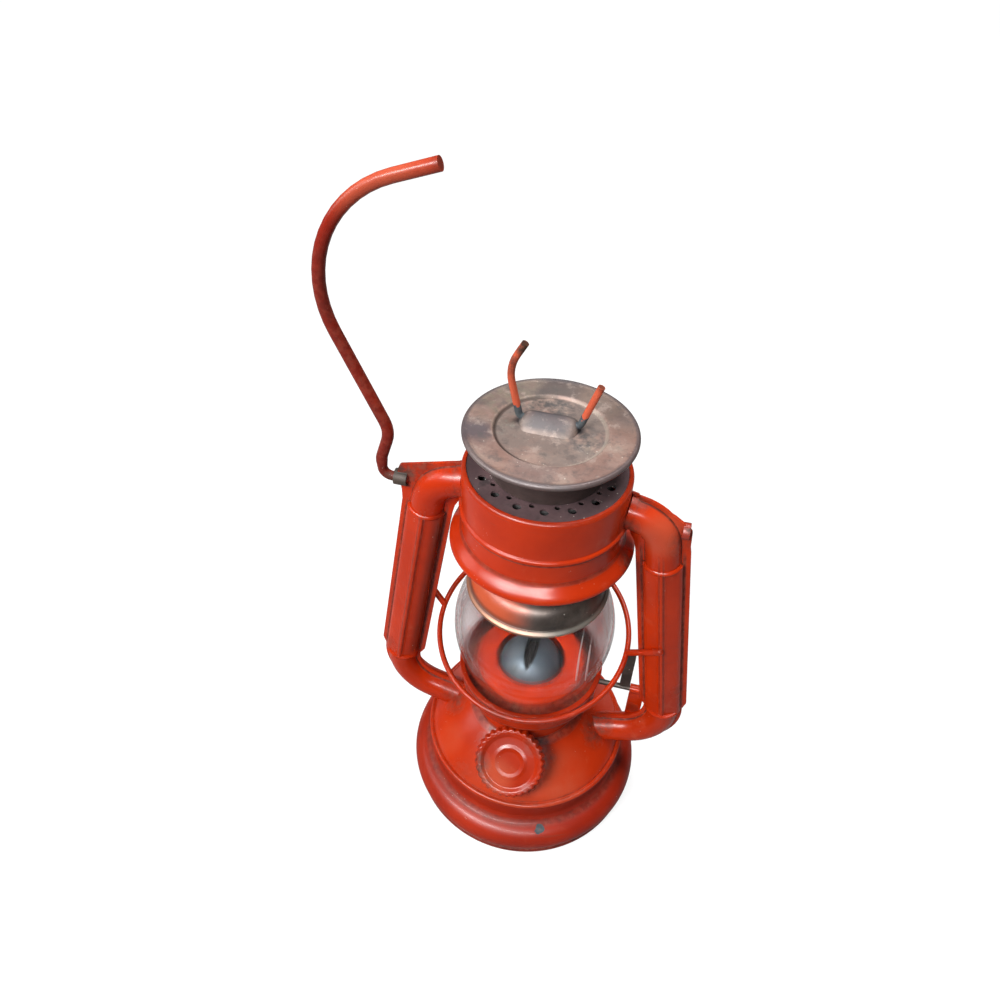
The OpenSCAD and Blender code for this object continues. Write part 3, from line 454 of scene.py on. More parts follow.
tank = {"radius": 52.2, "footRound": 7.6, "footZ": 8.7, "waist": 43.4, "fillet": 5.0, "wallTop": 28.4, "sheet": 0.8,
        "panel": 34.0, "panelZ": 2.2, "panTop": 3.0, "seam": 50.8, "seamW": 2.4, "coneFoot": 43.9, "coneHead": 26.0,
        "coneLow": 29.6, "coneHigh": 47.0, "swell": 3.2, "bead": (43.7, 29.45, 1.1), "collar": 23.0, "seat": 26.4,
        "seatTop": 71.6, "sides": 128}
# the pale spots on the cone are painted sheen
tankPaint = enamelMaterial(
    "tank enamel", grimeAndShadeBands=[(30.6, 31.0, 0.4, 0.4, 0.2), (47.6, 49.0, 1.2, 0.75, 0.5), (69, 71, 1.5, 0.5, 0.4)],
    grimeSpots=[((33, -7, 43), 10, 0.85), ((-33, -7, 43), 10, 0.75), ((14, -27, 45), 7, 0.6),
                ((-14, -27, 45), 6, 0.5), ((-22, -36, 33), 8, 0.2)],
    fadeAndSheenSpots=[((22, -30, 38), 17, 0.5), ((-30, -24, 36), 10, 0.35), ((0, -44, 30), 30, 0.25)])
# the band under the bead is painted shadow; the other bands darken the fillet above the foot roll and the base seam
footPaint = enamelMaterial(
    "foot enamel", shade=0.5, matt=0.16, chips=[((17.0, -44.4, 15.8), 3.2)],
    grimeAndShadeBands=[(27.6, 28.6, 1.0, 0.6, 0.6), (16.4, 17.6, 0.8, 0.5, 0.5), (2.2, 4.2, 1.2, 0.75, 0.5)])

seamIn = tank["seam"] - tank["seamW"]
basePan = turned("basePan", rounded([
    (0, 0), (tank["panel"], 0, 1), (tank["panel"] + 3, tank["panelZ"], 1), (seamIn, tank["panelZ"], 0.4),
    (seamIn, 0, 0.8), (tank["seam"], 0, 1.1), (tank["seam"], tank["panTop"], 0.3), (0, tank["panTop"])]), tank["sides"])
finishPiece(basePan, "frame", ["tank_base"], footPaint)

footR = tank["radius"] - tank["footRound"]
inset = tank["waist"] + tank["fillet"] - footR
rise = sqrt((tank["footRound"] + tank["fillet"]) ** 2 - inset ** 2)
meet = degrees(atan2(rise, inset))  # where the round of the foot runs into the fillet
inner = tank["waist"] - tank["sheet"]
bowl = turned("tankBowl", arcPoints(footR, tank["footZ"], tank["footRound"], -48, meet, 22)
              + arcPoints(footR + inset, tank["footZ"] + rise, tank["fillet"], 180 + meet, 180, 9)[1:]
              + [(tank["waist"], tank["wallTop"]), (inner, tank["wallTop"] + tank["sheet"]), (inner, 18)]
              + arcPoints(footR, tank["footZ"], tank["footRound"] - tank["sheet"], 78, -52, 12), tank["sides"])
finishPiece(bowl, "frame", ["tank_bowl"], footPaint)

coneLine = []
for k in range(1, 12):
    s = k / 12
    coneLine.append((tank["coneFoot"] + (tank["coneHead"] - tank["coneFoot"]) * s,
                     tank["coneLow"] + (tank["coneHigh"] - tank["coneLow"]) * s + tank["swell"] * s * (1 - s)))
inner = tank["collar"] - tank["sheet"]
shoulder = turned("tankShoulder", rounded(
    [(43.6, tank["wallTop"])] + arcPoints(*tank["bead"], -70, 110, 12) + [(42.8, 30.35)] + coneLine
    + [(tank["coneHead"], tank["coneHigh"], 1.6), (tank["collar"], 48.9, 1.4), (tank["collar"], 70.0, 0.8),
       (tank["seat"], 70.6, 0.3), (tank["seat"], tank["seatTop"], 0.3), (inner, tank["seatTop"]), (inner, 48.4),
       (25.4, 46.2), (43.6, 29.0)], 4), tank["sides"])
finishPiece(shoulder, "frame", ["tank_shoulder"], tankPaint)
print("tank done")

# filler cap: a scalloped rim round a dished top

filler = {"face": (0, -36.494, 49.84), "tilt": 48, "radius": 14.5, "scallops": 30, "depth": 0.75, "rimZ": -0.7,
          "skirt": [(-1.9, 1.045), (-0.6, 0.96), (0.0, 0.8)],  # lift and share of each further loop
          "lid": [(0.45, 0.985), (0.25, 0.96), (-0.3, 0.93)],
          "dish": [(0, -0.75), (4.6, -0.8, 3), (6.2, -0.5, 0.6), (7.6, -0.9, 1.2), (10.8, -1.1, 1.0), (12.2, -0.3, 0.8),
                   (13.2, -0.1, 0.4), (13.3, -2.6, 0.3), (11.15, -2.9, 0.3), (11.15, -6.6, 0.3), (10.35, -6.6, 0.2),
                   (10.35, -1.75), (0, -1.7)]}  # the raised ring in the dish is plain
capPaint = enamelMaterial(
    "cap enamel", shade=0.15, fadeAndSheenSpots=[((-5, -41.5, 45), 11, 0.5)], rustSpots=[((-13, -42, 45), 4, 0.5)],
    grimeSpots=[((-14, -39, 47), 8, 0.9), ((-10, -45, 41), 7, 0.9), ((9, -30, 57), 7, 0.45),
                ((-2, -47.5, 38.5), 6, 0.85), ((11, -44, 42), 6, 0.7)])


def scallopRing():
    ring = []
    count = filler["scallops"] * 6
    for k in range(count):
        a = 2 * pi * k / count
        r = filler["radius"] - filler["depth"] * (0.5 - 0.5 * cos(a * filler["scallops"])) ** 1.6
        ring.append((r * cos(a), r * sin(a), filler["rimZ"]))
    return ring


def growLoop(lift, scale):  # extrude the selected loop up or down and resize it
    extrudeBy((0, 0, lift))
    bpy.ops.transform.resize(value=(scale, scale, 1), center_override=(0, 0, 0))


rim = drawLoop("capRim", scallopRing())
for by, share in filler["skirt"]:
    growLoop(by, share)
bpy.ops.mesh.select_all(action="DESELECT")
bpy.ops.object.mode_set(mode="OBJECT")
for v in rim.data.vertices:  # back to the first loop
    v.select = abs(v.co.z - filler["rimZ"] * mm) < 1e-6
bpy.ops.object.mode_set(mode="EDIT")
for by, share in filler["lid"]:
    growLoop(by, share)
tidyMesh()
dish = turned("capDish", rounded(filler["dish"]), 96)
cap = joined("fillerCap", [rim, dish])
cap.matrix_world = (Matrix.Translation(Vector(filler["face"]) * mm)
                    @ Matrix.Rotation(radians(filler["tilt"]), 4, "X"))
fixTransform(cap)
finishPiece(cap, "cap", ["filler_cap"], capPaint, 50)
print("filler cap done")

# globe plate, globe and burner dome

plateSize = {"sides": 112, "outline": [
    (14.6, 76.9, 0.3), (22.2, 76.9, 1.2), (23.2, 75.8, 0.8), (23.2, 72.7, 0.6), (28.6, 72.7, 0.8), (28.6, 76.3, 0.3),
    (29.0, 76.3, 0.2), (30.6, 76.2, 0.5), (30.6, 75.1, 0.5), (29.4, 75.0, 0.4), (29.4, 65.5, 0.3), (28.6, 65.5, 0.3),
    (28.6, 71.9), (22.4, 71.9), (22.4, 76.1), (14.6, 76.1, 0.3)]}
# the dark band in the channel under the glass foot is painted shade
platePaint = enamelMaterial("plate enamel", shade=0.3,
                            grimeAndShadeBands=[(72, 74.8, 0.8, 0.9, 0.6), (64.5, 66.2, 0.8, 0.5, 0.2)])
plate = turned("globePlate", rounded(plateSize["outline"], 4), plateSize["sides"])
finishPiece(plate, "carrier", ["globe_plate"], platePaint)

globeSize = {"foot": 26.4, "belly": 32.7, "top": 25.2, "low": 72.7, "high": 126.7, "wall": 1.6, "lip": (24.4, 127.0),
             "seat": (25.6, 72.4), "rows": 40, "sides": 112,
             "clear": (244, 240, 240), "smeared": (234, 228, 228), "smoke": (118, 88, 86), "reflectionTone": (236, 226, 224),
             "reflectionStreaks": [(22.0, (23, -21, 110), 17), (25.5, (25, -19, 105), 15), (-26.0, (-25, -19, 110), 15)]}
glassGloss = {"Transmission Weight": 1.0, "IOR": 1.03, "Coat Weight": 1.0, "Coat Roughness": 0.02}


def globeSide(inset):  # the wall from foot to top
    mean = (globeSize["foot"] + globeSize["top"]) / 2
    line = []
    for k in range(globeSize["rows"] + 1):
        s = k / globeSize["rows"]
        line.append((globeSize["foot"] + (globeSize["top"] - globeSize["foot"]) * s
                     + (globeSize["belly"] - mean) * sin(pi * s ** 1.15) - inset,
                     globeSize["low"] + (globeSize["high"] - globeSize["low"]) * s))
    return line


def globeMaterial():
    clear, smeared, smoke, reflectionTone = (rgb(*globeSize[key]) for key in ("clear", "smeared", "smoke", "reflectionTone"))
    material, shader, place = newMaterial("clear glass")
    streak = place.noise(34, 3, 0.5, (1, 1, 0.25))
    smear = place.noise(150, 4, 0.6)
    x, y = axesOf(place)[:2]
    sootAndEdgeShade = y.step(-8, 16).most(x.size().step(17, 31) * 0.6)  # smoke on the back; the darker sides are painted shade of the glass edges
    reflectionStreaks = streak * 0
    for across, spot, reach in globeSize["reflectionStreaks"]:  # pale streaks run down the glass: painted reflections
        wander = (x - across + (place.noise(24, 1) - 0.5) * 8).size()
        reflectionStreaks = reflectionStreaks.most(wander.step(0.42, 0.12) * place.near(spot, reach))
    color = sootAndEdgeShade.mix(smear.step(0.3, 0.7).mix(clear, smeared), smoke)
    feed(shader, color=reflectionStreaks.mix(color, reflectionTone), metal=reflectionStreaks * 0.6,
         rough=0.015 + streak.step(0.6, 0.75) * 0.04 + reflectionStreaks * 0.4, normal=bumped(streak, 0.12, 0.4),
         alpha=0.42 + sootAndEdgeShade * 0.36 + streak.step(0.58, 0.7) * 0.1 + reflectionStreaks * 0.3)
    setInputs(shader, glassGloss)
    return material


globe = turned("globeGlass", globeSide(0) + [globeSize["lip"]] + globeSide(globeSize["wall"])[::-1]
               + [globeSize["seat"]], globeSize["sides"])
finishPiece(globe, "carrier", ["globe"], globeMaterial(), 60)

domeSize = {"radius": 13.4, "rise": 11.0, "low": 67.7, "edge": 72.7, "sheet": 0.8, "sides": 72, "slotZ": 75.5,
            "slotBevel": 0.3, "slot": [(0, -10.2), (1.1, -8.6), (2.1, -6), (2.6, -3), (2.65, 0), (2.65, 5), (2.5, 9.2),
                                       (1.4, 10)]}
burnerMetal = metalMaterial("burner metal", "dull", 0.35, (98, 104, 100))


def domeSide(inset, count):  # a quarter of an ellipse, from the edge up
    return [((domeSize["radius"] - inset) * cos(pi / 2 * k / count),
             domeSize["edge"] + (domeSize["rise"] - inset) * sin(pi / 2 * k / count)) for k in range(count + 1)]


dome = turned("burnerDome", [(domeSize["radius"], domeSize["low"])] + domeSide(0, 15)
              + domeSide(domeSize["sheet"], 9)[::-1] + [(domeSize["radius"] - domeSize["sheet"], domeSize["low"])],
              domeSize["sides"])
slotCutter = drawLoop("slotCutter", [(x, y, domeSize["slotZ"]) for x, y in domeSize["slot"]]
                      + [(-x, y, domeSize["slotZ"]) for x, y in domeSize["slot"][:0:-1]])
bpy.ops.mesh.edge_face_add()
extrudeBy((0, 0, 20))
tidyMesh()
useModifier(dome, "BOOLEAN", object=slotCutter, operation="DIFFERENCE", solver="EXACT")
bpy.data.objects.remove(slotCutter)
bevelEdges(dome, domeSize["slotBevel"], 2, 55)
finishPiece(dome, "frame", ["burner_dome"], burnerMetal, 45)
print("globe done")

# hood: chamber, cap, bell, chimney

hood = {"sides": 128, "bead": (29.42, 166.4, 1.08), "topRoll": (28.0, 182.4, 1.6),
        "skirt": [(29.6, 164.9), (29.6, 157.2), (29.7, 156.5), (30.0, 155.9), (30.6, 155.2), (31.6, 154.2),
                  (32.6, 153.2), (33.5, 152.2), (33.95, 151.4), (34.0, 150.7), (33.75, 150.15), (33.3, 150.0),
                  (32.8, 150.4), (32.4, 151.4), (31.0, 153.0), (29.7, 154.6), (28.9, 156.0), (28.8, 157.2),
                  (28.8, 164.9)]}
# the band just under the bead is painted shadow
hoodPaint = enamelMaterial(
    "hood enamel",
    grimeAndShadeBands=[(155.8, 156.6, 0.6, 0.55, 0.6), (183.2, 184.2, 0.5, 0.3, 0.3), (164.6, 165.2, 0.4, 0.75, 0.7)],
    grimeSpots=[((29.6, -3, 171), 10, 0.9), ((-29.6, -3, 171), 10, 0.8), ((32.5, -7, 152), 7, 0.9),
                ((28.5, -10, 165), 5, 0.7)])
skirt = turned("hoodSkirt", hood["skirt"], hood["sides"])
finishPiece(skirt, "frame", ["hood_skirt"], hoodPaint)
chamber = turned("airChamber", [(28.8, 164.9), (29.6, 164.9), (29.65, 165.3)] + arcPoints(*hood["bead"], -66, 66, 8)
                 + [(29.62, 167.6), (29.6, 168.2)] + arcPoints(*hood["topRoll"], 0, 90, 7)
                 + [(27.7, 183.6), (28.0, 182.4), (28.8, 181.6)], hood["sides"])
finishPiece(chamber, "frame", ["air_chamber"], hoodPaint)


# the cap top's wear and dust, with painted shade and a painted highlight among the layers
def capWearAndShading(place, color, metal, rough):
    x, y, z = axesOf(place)
    around = (x * x + y * y) ** 0.5
    grain = place.noise(300, 5, 0.65)
    smoke = place.noise(75, 5, 0.6)
    mottle = place.noise(170, 6, 0.7)
    top = z.step(197.8, 198.3)
    ring = around.step(19.0, 20.4) * top
    inside = around.step(18.8, 17.6) * top
    hump = (x + 1.2).size().step(10.0, 4.0) * z.step(198.9, 200.4)
    crease = around.step(17.6, 18.3) * around.step(19.4, 18.7) * top
    edge = around.step(27.4, 28.4) * z.step(197.2, 198.4)
    neck = z.step(197.4, 196.2)
    feet = place.near((-10.6, 3, 199.5), 3.6).most(place.near((8.4, 3, 199.5), 3.6))
    layers = [
        (ring * smoke.step(0.36, 0.6) * 0.7, rgb(128, 92, 80)),
        # painted shade: darker towards the back of the ring
        (ring * y.step(-4, 16) * 0.6, smoke.step(0.38, 0.6).mix(rgb(82, 74, 70), rgb(112, 102, 92))),
        (ring * place.near((-24, -8, 199), 11) * smoke.step(0.3, 0.6) * 0.8, rgb(70, 66, 74)),
        (top * place.near((-16, 12, 199), 20) * grain.step(0.4, 0.6) * 0.6, rgb(122, 112, 96)),
        (inside * smoke.step(0.34, 0.58) * 0.85, rgb(119, 105, 98)),
        # painted shade on the back of the recess
        (inside * place.near((-3, 12, 199), 13) * grain.step(0.34, 0.66) * 0.85, rgb(66, 64, 66)),
        (inside * place.near((13, -3, 199), 10) * grain.step(0.36, 0.66) * 0.8, rgb(70, 70, 72)),
        (inside * place.near((-13, -2, 199), 7) * grain.step(0.5, 0.66) * 0.6, rgb(160, 154, 140)),
        (hump * 0.75, smoke.step(0.35, 0.65).mix(rgb(68, 66, 73), rgb(88, 85, 89))),
        # painted shadow behind the hump
        (hump * y.step(4.2, 6.2) * 0.85, rgb(50, 46, 48)),
        (top * mottle.step(0.52, 0.66) * 0.55, rgb(84, 76, 74)),
        (top * mottle.step(0.46, 0.34) * 0.45, rgb(170, 152, 142)),
        (top * grain.step(0.54, 0.66) * 0.3, rgb(84, 78, 76)),
        # the recess edge: painted shade on its left side, painted highlight on its right
        (crease * x.step(4, -12) * 0.85, rgb(66, 52, 46)),
        (crease * x.step(0, 12) * 0.5, rgb(158, 148, 136)),
        (edge * 0.75, rgb(86, 76, 78)),
        (neck * 0.85, smoke.step(0.4, 0.6).mix(rgb(40, 29, 28), rgb(60, 45, 44))),
        (feet * 0.8, rgb(40, 42, 48))]
    for mask, tone in layers:
        color = mask.mix(color, tone)
    return color, metal * (1 - ring * 0.4) * (1 - hump), rough - edge * 0.15 + hump * 0.1


topSize = {"neck": 20.0, "flare": 7.2, "curve": 1.7, "low": 184.0, "rise": 14.8, "sheet": 0.8, "sides": 112,
           "rim": [(27.6, 198.0, 0.4), (29.0, 197.7, 0.6), (29.6, 198.9, 0.9), (28.8, 200.0, 0.9), (27.0, 199.5, 0.6),
                   (19.4, 199.5, 0.5), (18.4, 198.6, 0.6), (0, 198.6), (0, 197.8), (25.6, 197.8)]}
humpSize = {"middle": (-1.15, 3, 198.3), "half": 6.4, "rise": 3.75, "curve": 2.2,
            "ends": [(10.25, 0.2), (9.75, 0.5), (8.85, 0.78), (7.65, 0.94), (5.85, 1.0)]}  # distance, share of section
capMetal = metalMaterial("cap metal", "rust", 0.45, (146, 134, 118), capWearAndShading)
neckLine = [(topSize["neck"] + topSize["flare"] * (k / 11) ** topSize["curve"],
             topSize["low"] + topSize["rise"] * k / 11) for k in range(11)]
hoodCap = turned("hoodCap", rounded(neckLine + topSize["rim"]
                                    + [(r - topSize["sheet"], z) for r, z in reversed(neckLine)]), topSize["sides"])
humpX, humpY, humpZ = humpSize["middle"]
humpEnds = [(humpX - x, s) for x, s in humpSize["ends"]] + [(humpX + x, s) for x, s in reversed(humpSize["ends"])]
humpLine = [(humpEnds[0][0], humpY + humpSize["half"] * cos(radians(a)),
             humpZ + humpSize["rise"] * max(sin(radians(a)), 0) ** humpSize["curve"]) for a in range(0, 181, 10)]
bridge = drawLoop("capBridge", humpLine)
humpBase = Vector((0, humpY, humpZ)) * mm
bpy.ops.transform.resize(value=(1, humpEnds[0][1], humpEnds[0][1]), center_override=humpBase)
for (xa, sa), (xb, sb) in zip(humpEnds, humpEnds[1:]):
    extrudeBy((xb - xa, 0, 0))
    bpy.ops.transform.resize(value=(1, sb / sa, sb / sa), center_override=humpBase)
closeEnds()
hoodCap = joined("hoodCap", [hoodCap, bridge])
finishPiece(hoodCap, "hood", ["hood_cap"], capMetal)


def bellPaintAndShading(place, color, metal, rough):
    x, y, z = axesOf(place)
    side = x + y * 0.3 + place.noise(40, 3) * 8
    painted = side.step(1, -14) * z.step(126.2, 128.2)
    # painted light: the metal lighter toward the left and middle, darker on the right
    color = (side.step(12, -6) * 0.6).mix(color, rgb(104, 90, 84))
    color = painted.mix(color, z.step(127.6, 129.6).mix(rgb(150, 62, 26), rgb(204, 82, 36)))
    rimGrey = z.step(127.2, 126.2)
    color = (rimGrey * 0.8).mix(color, side.step(12, -12).mix(rgb(148, 142, 132), rgb(166, 112, 84)))
    return color, metal * (1 - painted), rough - 0.05


bellSize = {"middle": (20.4, 128.2), "wide": 5.6, "tall": 7.4, "sheet": 0.8, "sides": 112,
            "rim": [(26.65, 124.6, 0.2), (27.8, 124.6, 0.55), (27.8, 125.8, 0.55), (27.0, 126.4, 0.4),
                    (26.3, 127.2, 0.5)],
            "neck": [(20.0, 136.4, 0.6), (20.0, 146.2, 0.2), (19.25, 146.2, 0.2), (19.25, 134.8)],
            "under": [(24.9, 127.0), (26.65, 127.0)]}
bellMetal = metalMaterial("bell metal", "dark", 0.3, (110, 98, 88), bellPaintAndShading)


def bellSide(inset, angles):  # the rounded shoulder
    r, z = bellSize["middle"]
    return [(r + (bellSize["wide"] - inset) * cos(radians(a)), z + (bellSize["tall"] - inset) * sin(radians(a)))
            for a in angles]


bell = turned("bellSkirt", rounded(
    bellSize["rim"] + bellSide(0, [7.5 * k for k in range(12)]) + bellSize["neck"]
    + bellSide(bellSize["sheet"], range(80, 0, -10)) + bellSize["under"], 4), bellSize["sides"])
finishPiece(bell, "hood", ["bell"], bellMetal)
flueSize = {"inner": 18.4, "outer": 19.2, "low": 143.8, "high": 187.2, "edge": 0.2, "sides": 80}
flueMetal = metalMaterial("flue metal", "dark", 0.2)
flueCorners = [("inner", "low"), ("outer", "low"), ("outer", "high"), ("inner", "high")]
flue = turned("chimneyTube", rounded([(flueSize[r], flueSize[z], flueSize["edge"]) for r, z in flueCorners], 2),
              flueSize["sides"])
finishPiece(flue, "hood", ["chimney"], flueMetal)
print("hood done")

# side tubes: a front half is made for each side, the back halves are mirrored

tube = {"radius": 6.4, "column": 7.4, "shoulder": 3.6, "depth": 6.3, "flange": 9.8, "flangeArm": 8.1, "slope": 4.0,
        "flangeT": 0.6, "flangeEdge": 0.63, "edgeRound": 1.5, "rightCollar": 9.0, "leftCollar": 4.0, "lap": 0.3,
        "ribW": 1.0, "ribH": 0.5, "lip": 0.95, "lipW": 1.5, "seamR": 6.9, "seamL": 2.3,
        "path": [(28.6, 170.58), (41.8, 167.8), (61.4, 45.8), (29.5, 36.05)], "bends": [0, 14, 20, 0],
        "rightEar": [(53.0, 158.6, 2), (52.3, 166.4, 2.4), (48.8, 169.4, 2), (44.6, 172.4, 3), (38.0, 172.0)],
        "leftEar": [(53.6, 160.4, 2), (54.8, 169.4, 1), (53.6, 172.4, 1.4), (49.0, 173.6, 4), (30.4, 178.6)],
        "gusset": [(30.4, 170.0), (30.4, 164.0), (31.4, 160.4, 3), (33.2, 157.0, 3)]}
upper, lower = Vector(tube["path"][1]), Vector(tube["path"][2])
down = (lower - upper).normalized()
armIn = (upper - Vector(tube["path"][0])).normalized()
armOut = (Vector(tube["path"][3]) - lower).normalized()
columnTop = upper + down * tube["bends"][1] * tan(armIn.angle(down) / 2)
columnFoot = lower - down * tube["bends"][2] * tan(down.angle(armOut) / 2)
lean = -down.x / down.y


def armSection(r=tube["radius"]):
    w, t = tube["flangeArm"], tube["flangeT"]
    arc = [(r * cos(radians(a)), r * sin(radians(a))) for a in range(14, 167, 8)]
    edge = [(w, 0), (w, t * 0.7), (w - 0.3, t), (r + 0.25, t), (r, t + 0.45)]
    return [(-w, 0)] + edge + arc[1:-1] + [(-u, v) for u, v in edge[:0:-1]]


def columnSection():
    w, s, d, t = tube["column"], tube["shoulder"], tube["depth"], tube["flangeT"]
    h, rib = tube["ribW"] / 2, tube["ribH"]
    half = [(w, 0), (w, t + 0.3), (w - 0.08, s * 0.48), (w - 0.3, s * 0.7), (w - 0.68, s * 0.9), (w - 1.2, s + 0.2),
            (w - 1.9, s + 0.6), (w * 0.52, s + 1.35), (w * 0.3, s + 2.05), (h + 0.5, d - 0.1),
            (h + 0.15, d + rib * 0.6), (h - 0.25, d + rib)]
    return half + [(-u, v) for u, v in reversed(half)]


def makeLip(end, sign):  # the raised half ring at an end of the column
    r = tube["radius"]
    a, b = end - down * sign * 0.4, end + down * sign * tube["lipW"]
    ring = [(r - 1, a), (r + 0.3, a), (r + tube["lip"] * 0.8, a.lerp(b, 0.2)), (r + tube["lip"], a.lerp(b, 0.5)),
            (r + tube["lip"] * 0.7, a.lerp(b, 0.85)), (r - 0.2, b), (r - 2.4, b)]
    across = frameAlong((down.x, 0, down.y))[0]
    lip = drawLoop("tubeLip", [Vector((p.x, 0, p.y)) + across * u for u, p in ring])
    bpy.ops.mesh.spin(steps=24, angle=pi, center=Vector((end.x, 0, end.y)) * mm, axis=(down.x, 0, down.y))
    closeEnds()
    if sum(v.co.y for v in lip.data.vertices) > 0:
        mirror(lip, (0, 1, 0))
    return lip


def makeTubeHalf(name, ear, collar):
    path, bends, lap = tube["path"], tube["bends"], down * tube["lap"]
    head = columnTop + down * tube[collar]  # the round arm ends here, in the collar
    top = sweep("tubeTop", [path[0], path[1], head + lap], bends, armSection())
    foot = sweep("tubeFoot", [columnFoot - lap, path[2], path[3]], [0, bends[2], 0], armSection())
    column = sweep("tubeColumn", [head, columnFoot], [0, 0], columnSection())
    out = Vector((-down.y, down.x))
    wide, narrow, slope = out * tube["flange"], out * tube["flangeArm"], down * tube["slope"]
    edge = [columnTop + slope - wide, columnFoot - slope - wide, columnFoot - narrow, columnFoot + narrow,
            columnFoot - slope + wide, columnTop + slope + wide]
    outline = tube["gusset"] + [(*p, tube["edgeRound"]) for p in edge] + tube[ear]
    plate = pressed("tubeFlange", rounded(outline), -tube["flangeEdge"], 0)
    bevelEdges(plate, 0.2, 2, 60)
    along = Vector((armIn.x, 0, armIn.y))
    start = Vector((path[0][0], 0, path[0][1]))
    seam = sweep("tubeSeam", [start, start + along * tube["seamL"]], [0, 0], armSection(tube["seamR"]))
    return joined(name, [column, top, foot, seam, makeLip(head, 1), makeLip(columnFoot, -1), plate])


# the crease and the column's inner stripe and lines are painted shade; the pale spot on the right arm near the hood is
# painted sheen
tubePaint = enamelMaterial(
    "tube enamel", crease=0.85, fadeAndSheenSpots=[((42, -6, 166), 13, 0.45)],
    grimeSpots=[((32, 0, 177), 7, 0.7), ((-32, 0, 177), 8, 0.6), ((34, -3, 43), 8, 0.75), ((-34, -3, 43), 8, 0.65),
                ((50, -2, 163), 8, 0.55), ((-51, 0, 169), 9, 0.95), ((-44, 0, 174), 7, 0.7), ((30, -6, 168), 6, 0.85),
                ((-30, -6, 168), 6, 0.75), ((62, -2, 80), 6, 0.4), ((-62, -2, 70), 6, 0.4)],
    rustSpots=[((-54, 0, 169), 5, 0.9), ((52.5, 0, 166), 3, 0.6)],
    column={"lean": lean, "axis": columnTop.x + columnTop.y * lean, "low": columnFoot.y, "high": columnTop.y})
rightFront = makeTubeHalf("rightTubeFront", "rightEar", "rightCollar")
leftFront = makeTubeHalf("leftTubeFront", "leftEar", "leftCollar")
mirror(leftFront, (1, 0, 0))
rightBack = flipped(rightFront, "rightTubeBack", (0, 1, 0))
leftBack = flipped(leftFront, "leftTubeBack", (0, 1, 0))
for piece, node in ((rightFront, "right_tube_front"), (rightBack, "right_tube_back"),
                    (leftFront, "left_tube_front"), (leftBack, "left_tube_back")):
    finishPiece(piece, "frame", [node], tubePaint, 32)

# eyelets: sheet rolled into a barrel, the end of the roll standing off

eyelet = {"bore": 1.97, "sheet": 0.75, "grow": 0.55, "pivotZ": 165.7, "left": (-51.0, -56.0), "right": (48.9, 51.4),
          "bevel": 0.14, "paint": (168, 44, 18)}


def eyeletPaint(place, color, metal, rough):  # the right one keeps its paint
    kept = axesOf(place)[0].step(0, 10) * place.noise(260, 4).step(0.72, 0.5)
    color = (kept * 0.9).mix(color, rgb(*eyelet["paint"]))
    return color, metal * (1 - kept), rough - kept * 0.25


eyeletMetal = metalMaterial("eyelet metal", "brown", 0.25, (104, 92, 78), eyeletPaint)


def rolledEyelet(name, ends):
    inner, outer = [], []
    for k in range(41):
        a = radians(70 + 10 * k)
        r = eyelet["bore"] + eyelet["grow"] * k / 40
        inner.append((ends[0], r * cos(a), eyelet["pivotZ"] + r * sin(a)))
        r = r + eyelet["sheet"] * (1 if k < 38 else 1 - 0.12 * (k - 37))
        outer.append((ends[0], r * cos(a), eyelet["pivotZ"] + r * sin(a)))
    roll = drawLoop(name, outer + inner[::-1])
    bpy.ops.mesh.edge_face_add()
    extrudeBy((ends[1] - ends[0], 0, 0))
    tidyMesh()
    bevelEdges(roll, eyelet["bevel"], 2, 50)
    return roll


eyelets = joined("bailEyelets", [rolledEyelet(side + "Eyelet", eyelet[side]) for side in ("left", "right")])
finishPiece(eyelets, "frame", ["bail_eyelets"], eyeletMetal, 40)
print("tubes done")

# wires: handle, lift ring and guard ring

handle = {"radius": 1.85, "arm": 2.15, "sides": 20,  # the pin in the eyelet is thinner than the arm
          "path": [(-50.8, 165.7), (-60.65, 165.7), (-60.65, 173.7), (-56.6, 186.3), (-89.7, 262.1), (-35.8, 280.75)],
          "bends": [0, 3.7, 9, 12, 39.1, 0]}
# the pale tip is painted light on the top; the band darkens the wire below z 240
wirePaint = enamelMaterial(
    "wire enamel", shade=0.8, matt=0.05, fadeAndSheenSpots=[((-52, 0, 277), 26, 0.55)],
    grimeAndShadeBands=[(165, 240, 26, 0.5, 0.6)], grimeSpots=[((-60.6, 0, 168), 8, 0.6)],
    rustSpots=[((-36, 0, 281), 3.0, 0.6), ((-56, 0, 166), 6, 0.9)])
bail = sweep("handleWire", handle["path"], handle["bends"], circle(handle["radius"], handle["sides"]),
             grow={2: handle["arm"] / handle["radius"]})
finishPiece(bail, "handle", ["bail"], wirePaint, 50)

lift = {"radius": 1.25, "sides": 16, "bends": [0, 15, 2.4, 2.4, 0],
        "path": [(-10.6, 3, 228.2), (-15.7, 3, 218.6), (-11.3, 3, 200.05), (9.0, 3, 200.05), (14.4, 3, 216.65)]}
ringPaint = enamelMaterial(
    "ring enamel", fade=0.8, chips=[((-11.6, 3, 201.6), 5.6), ((9.4, 3, 201.4), 5.6)],
    grimeSpots=[((-12, 3, 226), 14, 1.0)], rustSpots=[((-10.6, 3, 228), 5, 1.2), ((14.4, 3, 216.7), 2.4, 0.8)])
ringWire = sweep("liftRing", lift["path"], lift["bends"], circle(lift["radius"], lift["sides"]))
finishPiece(ringWire, "ring", ["lift_ring"], ringPaint, 50)

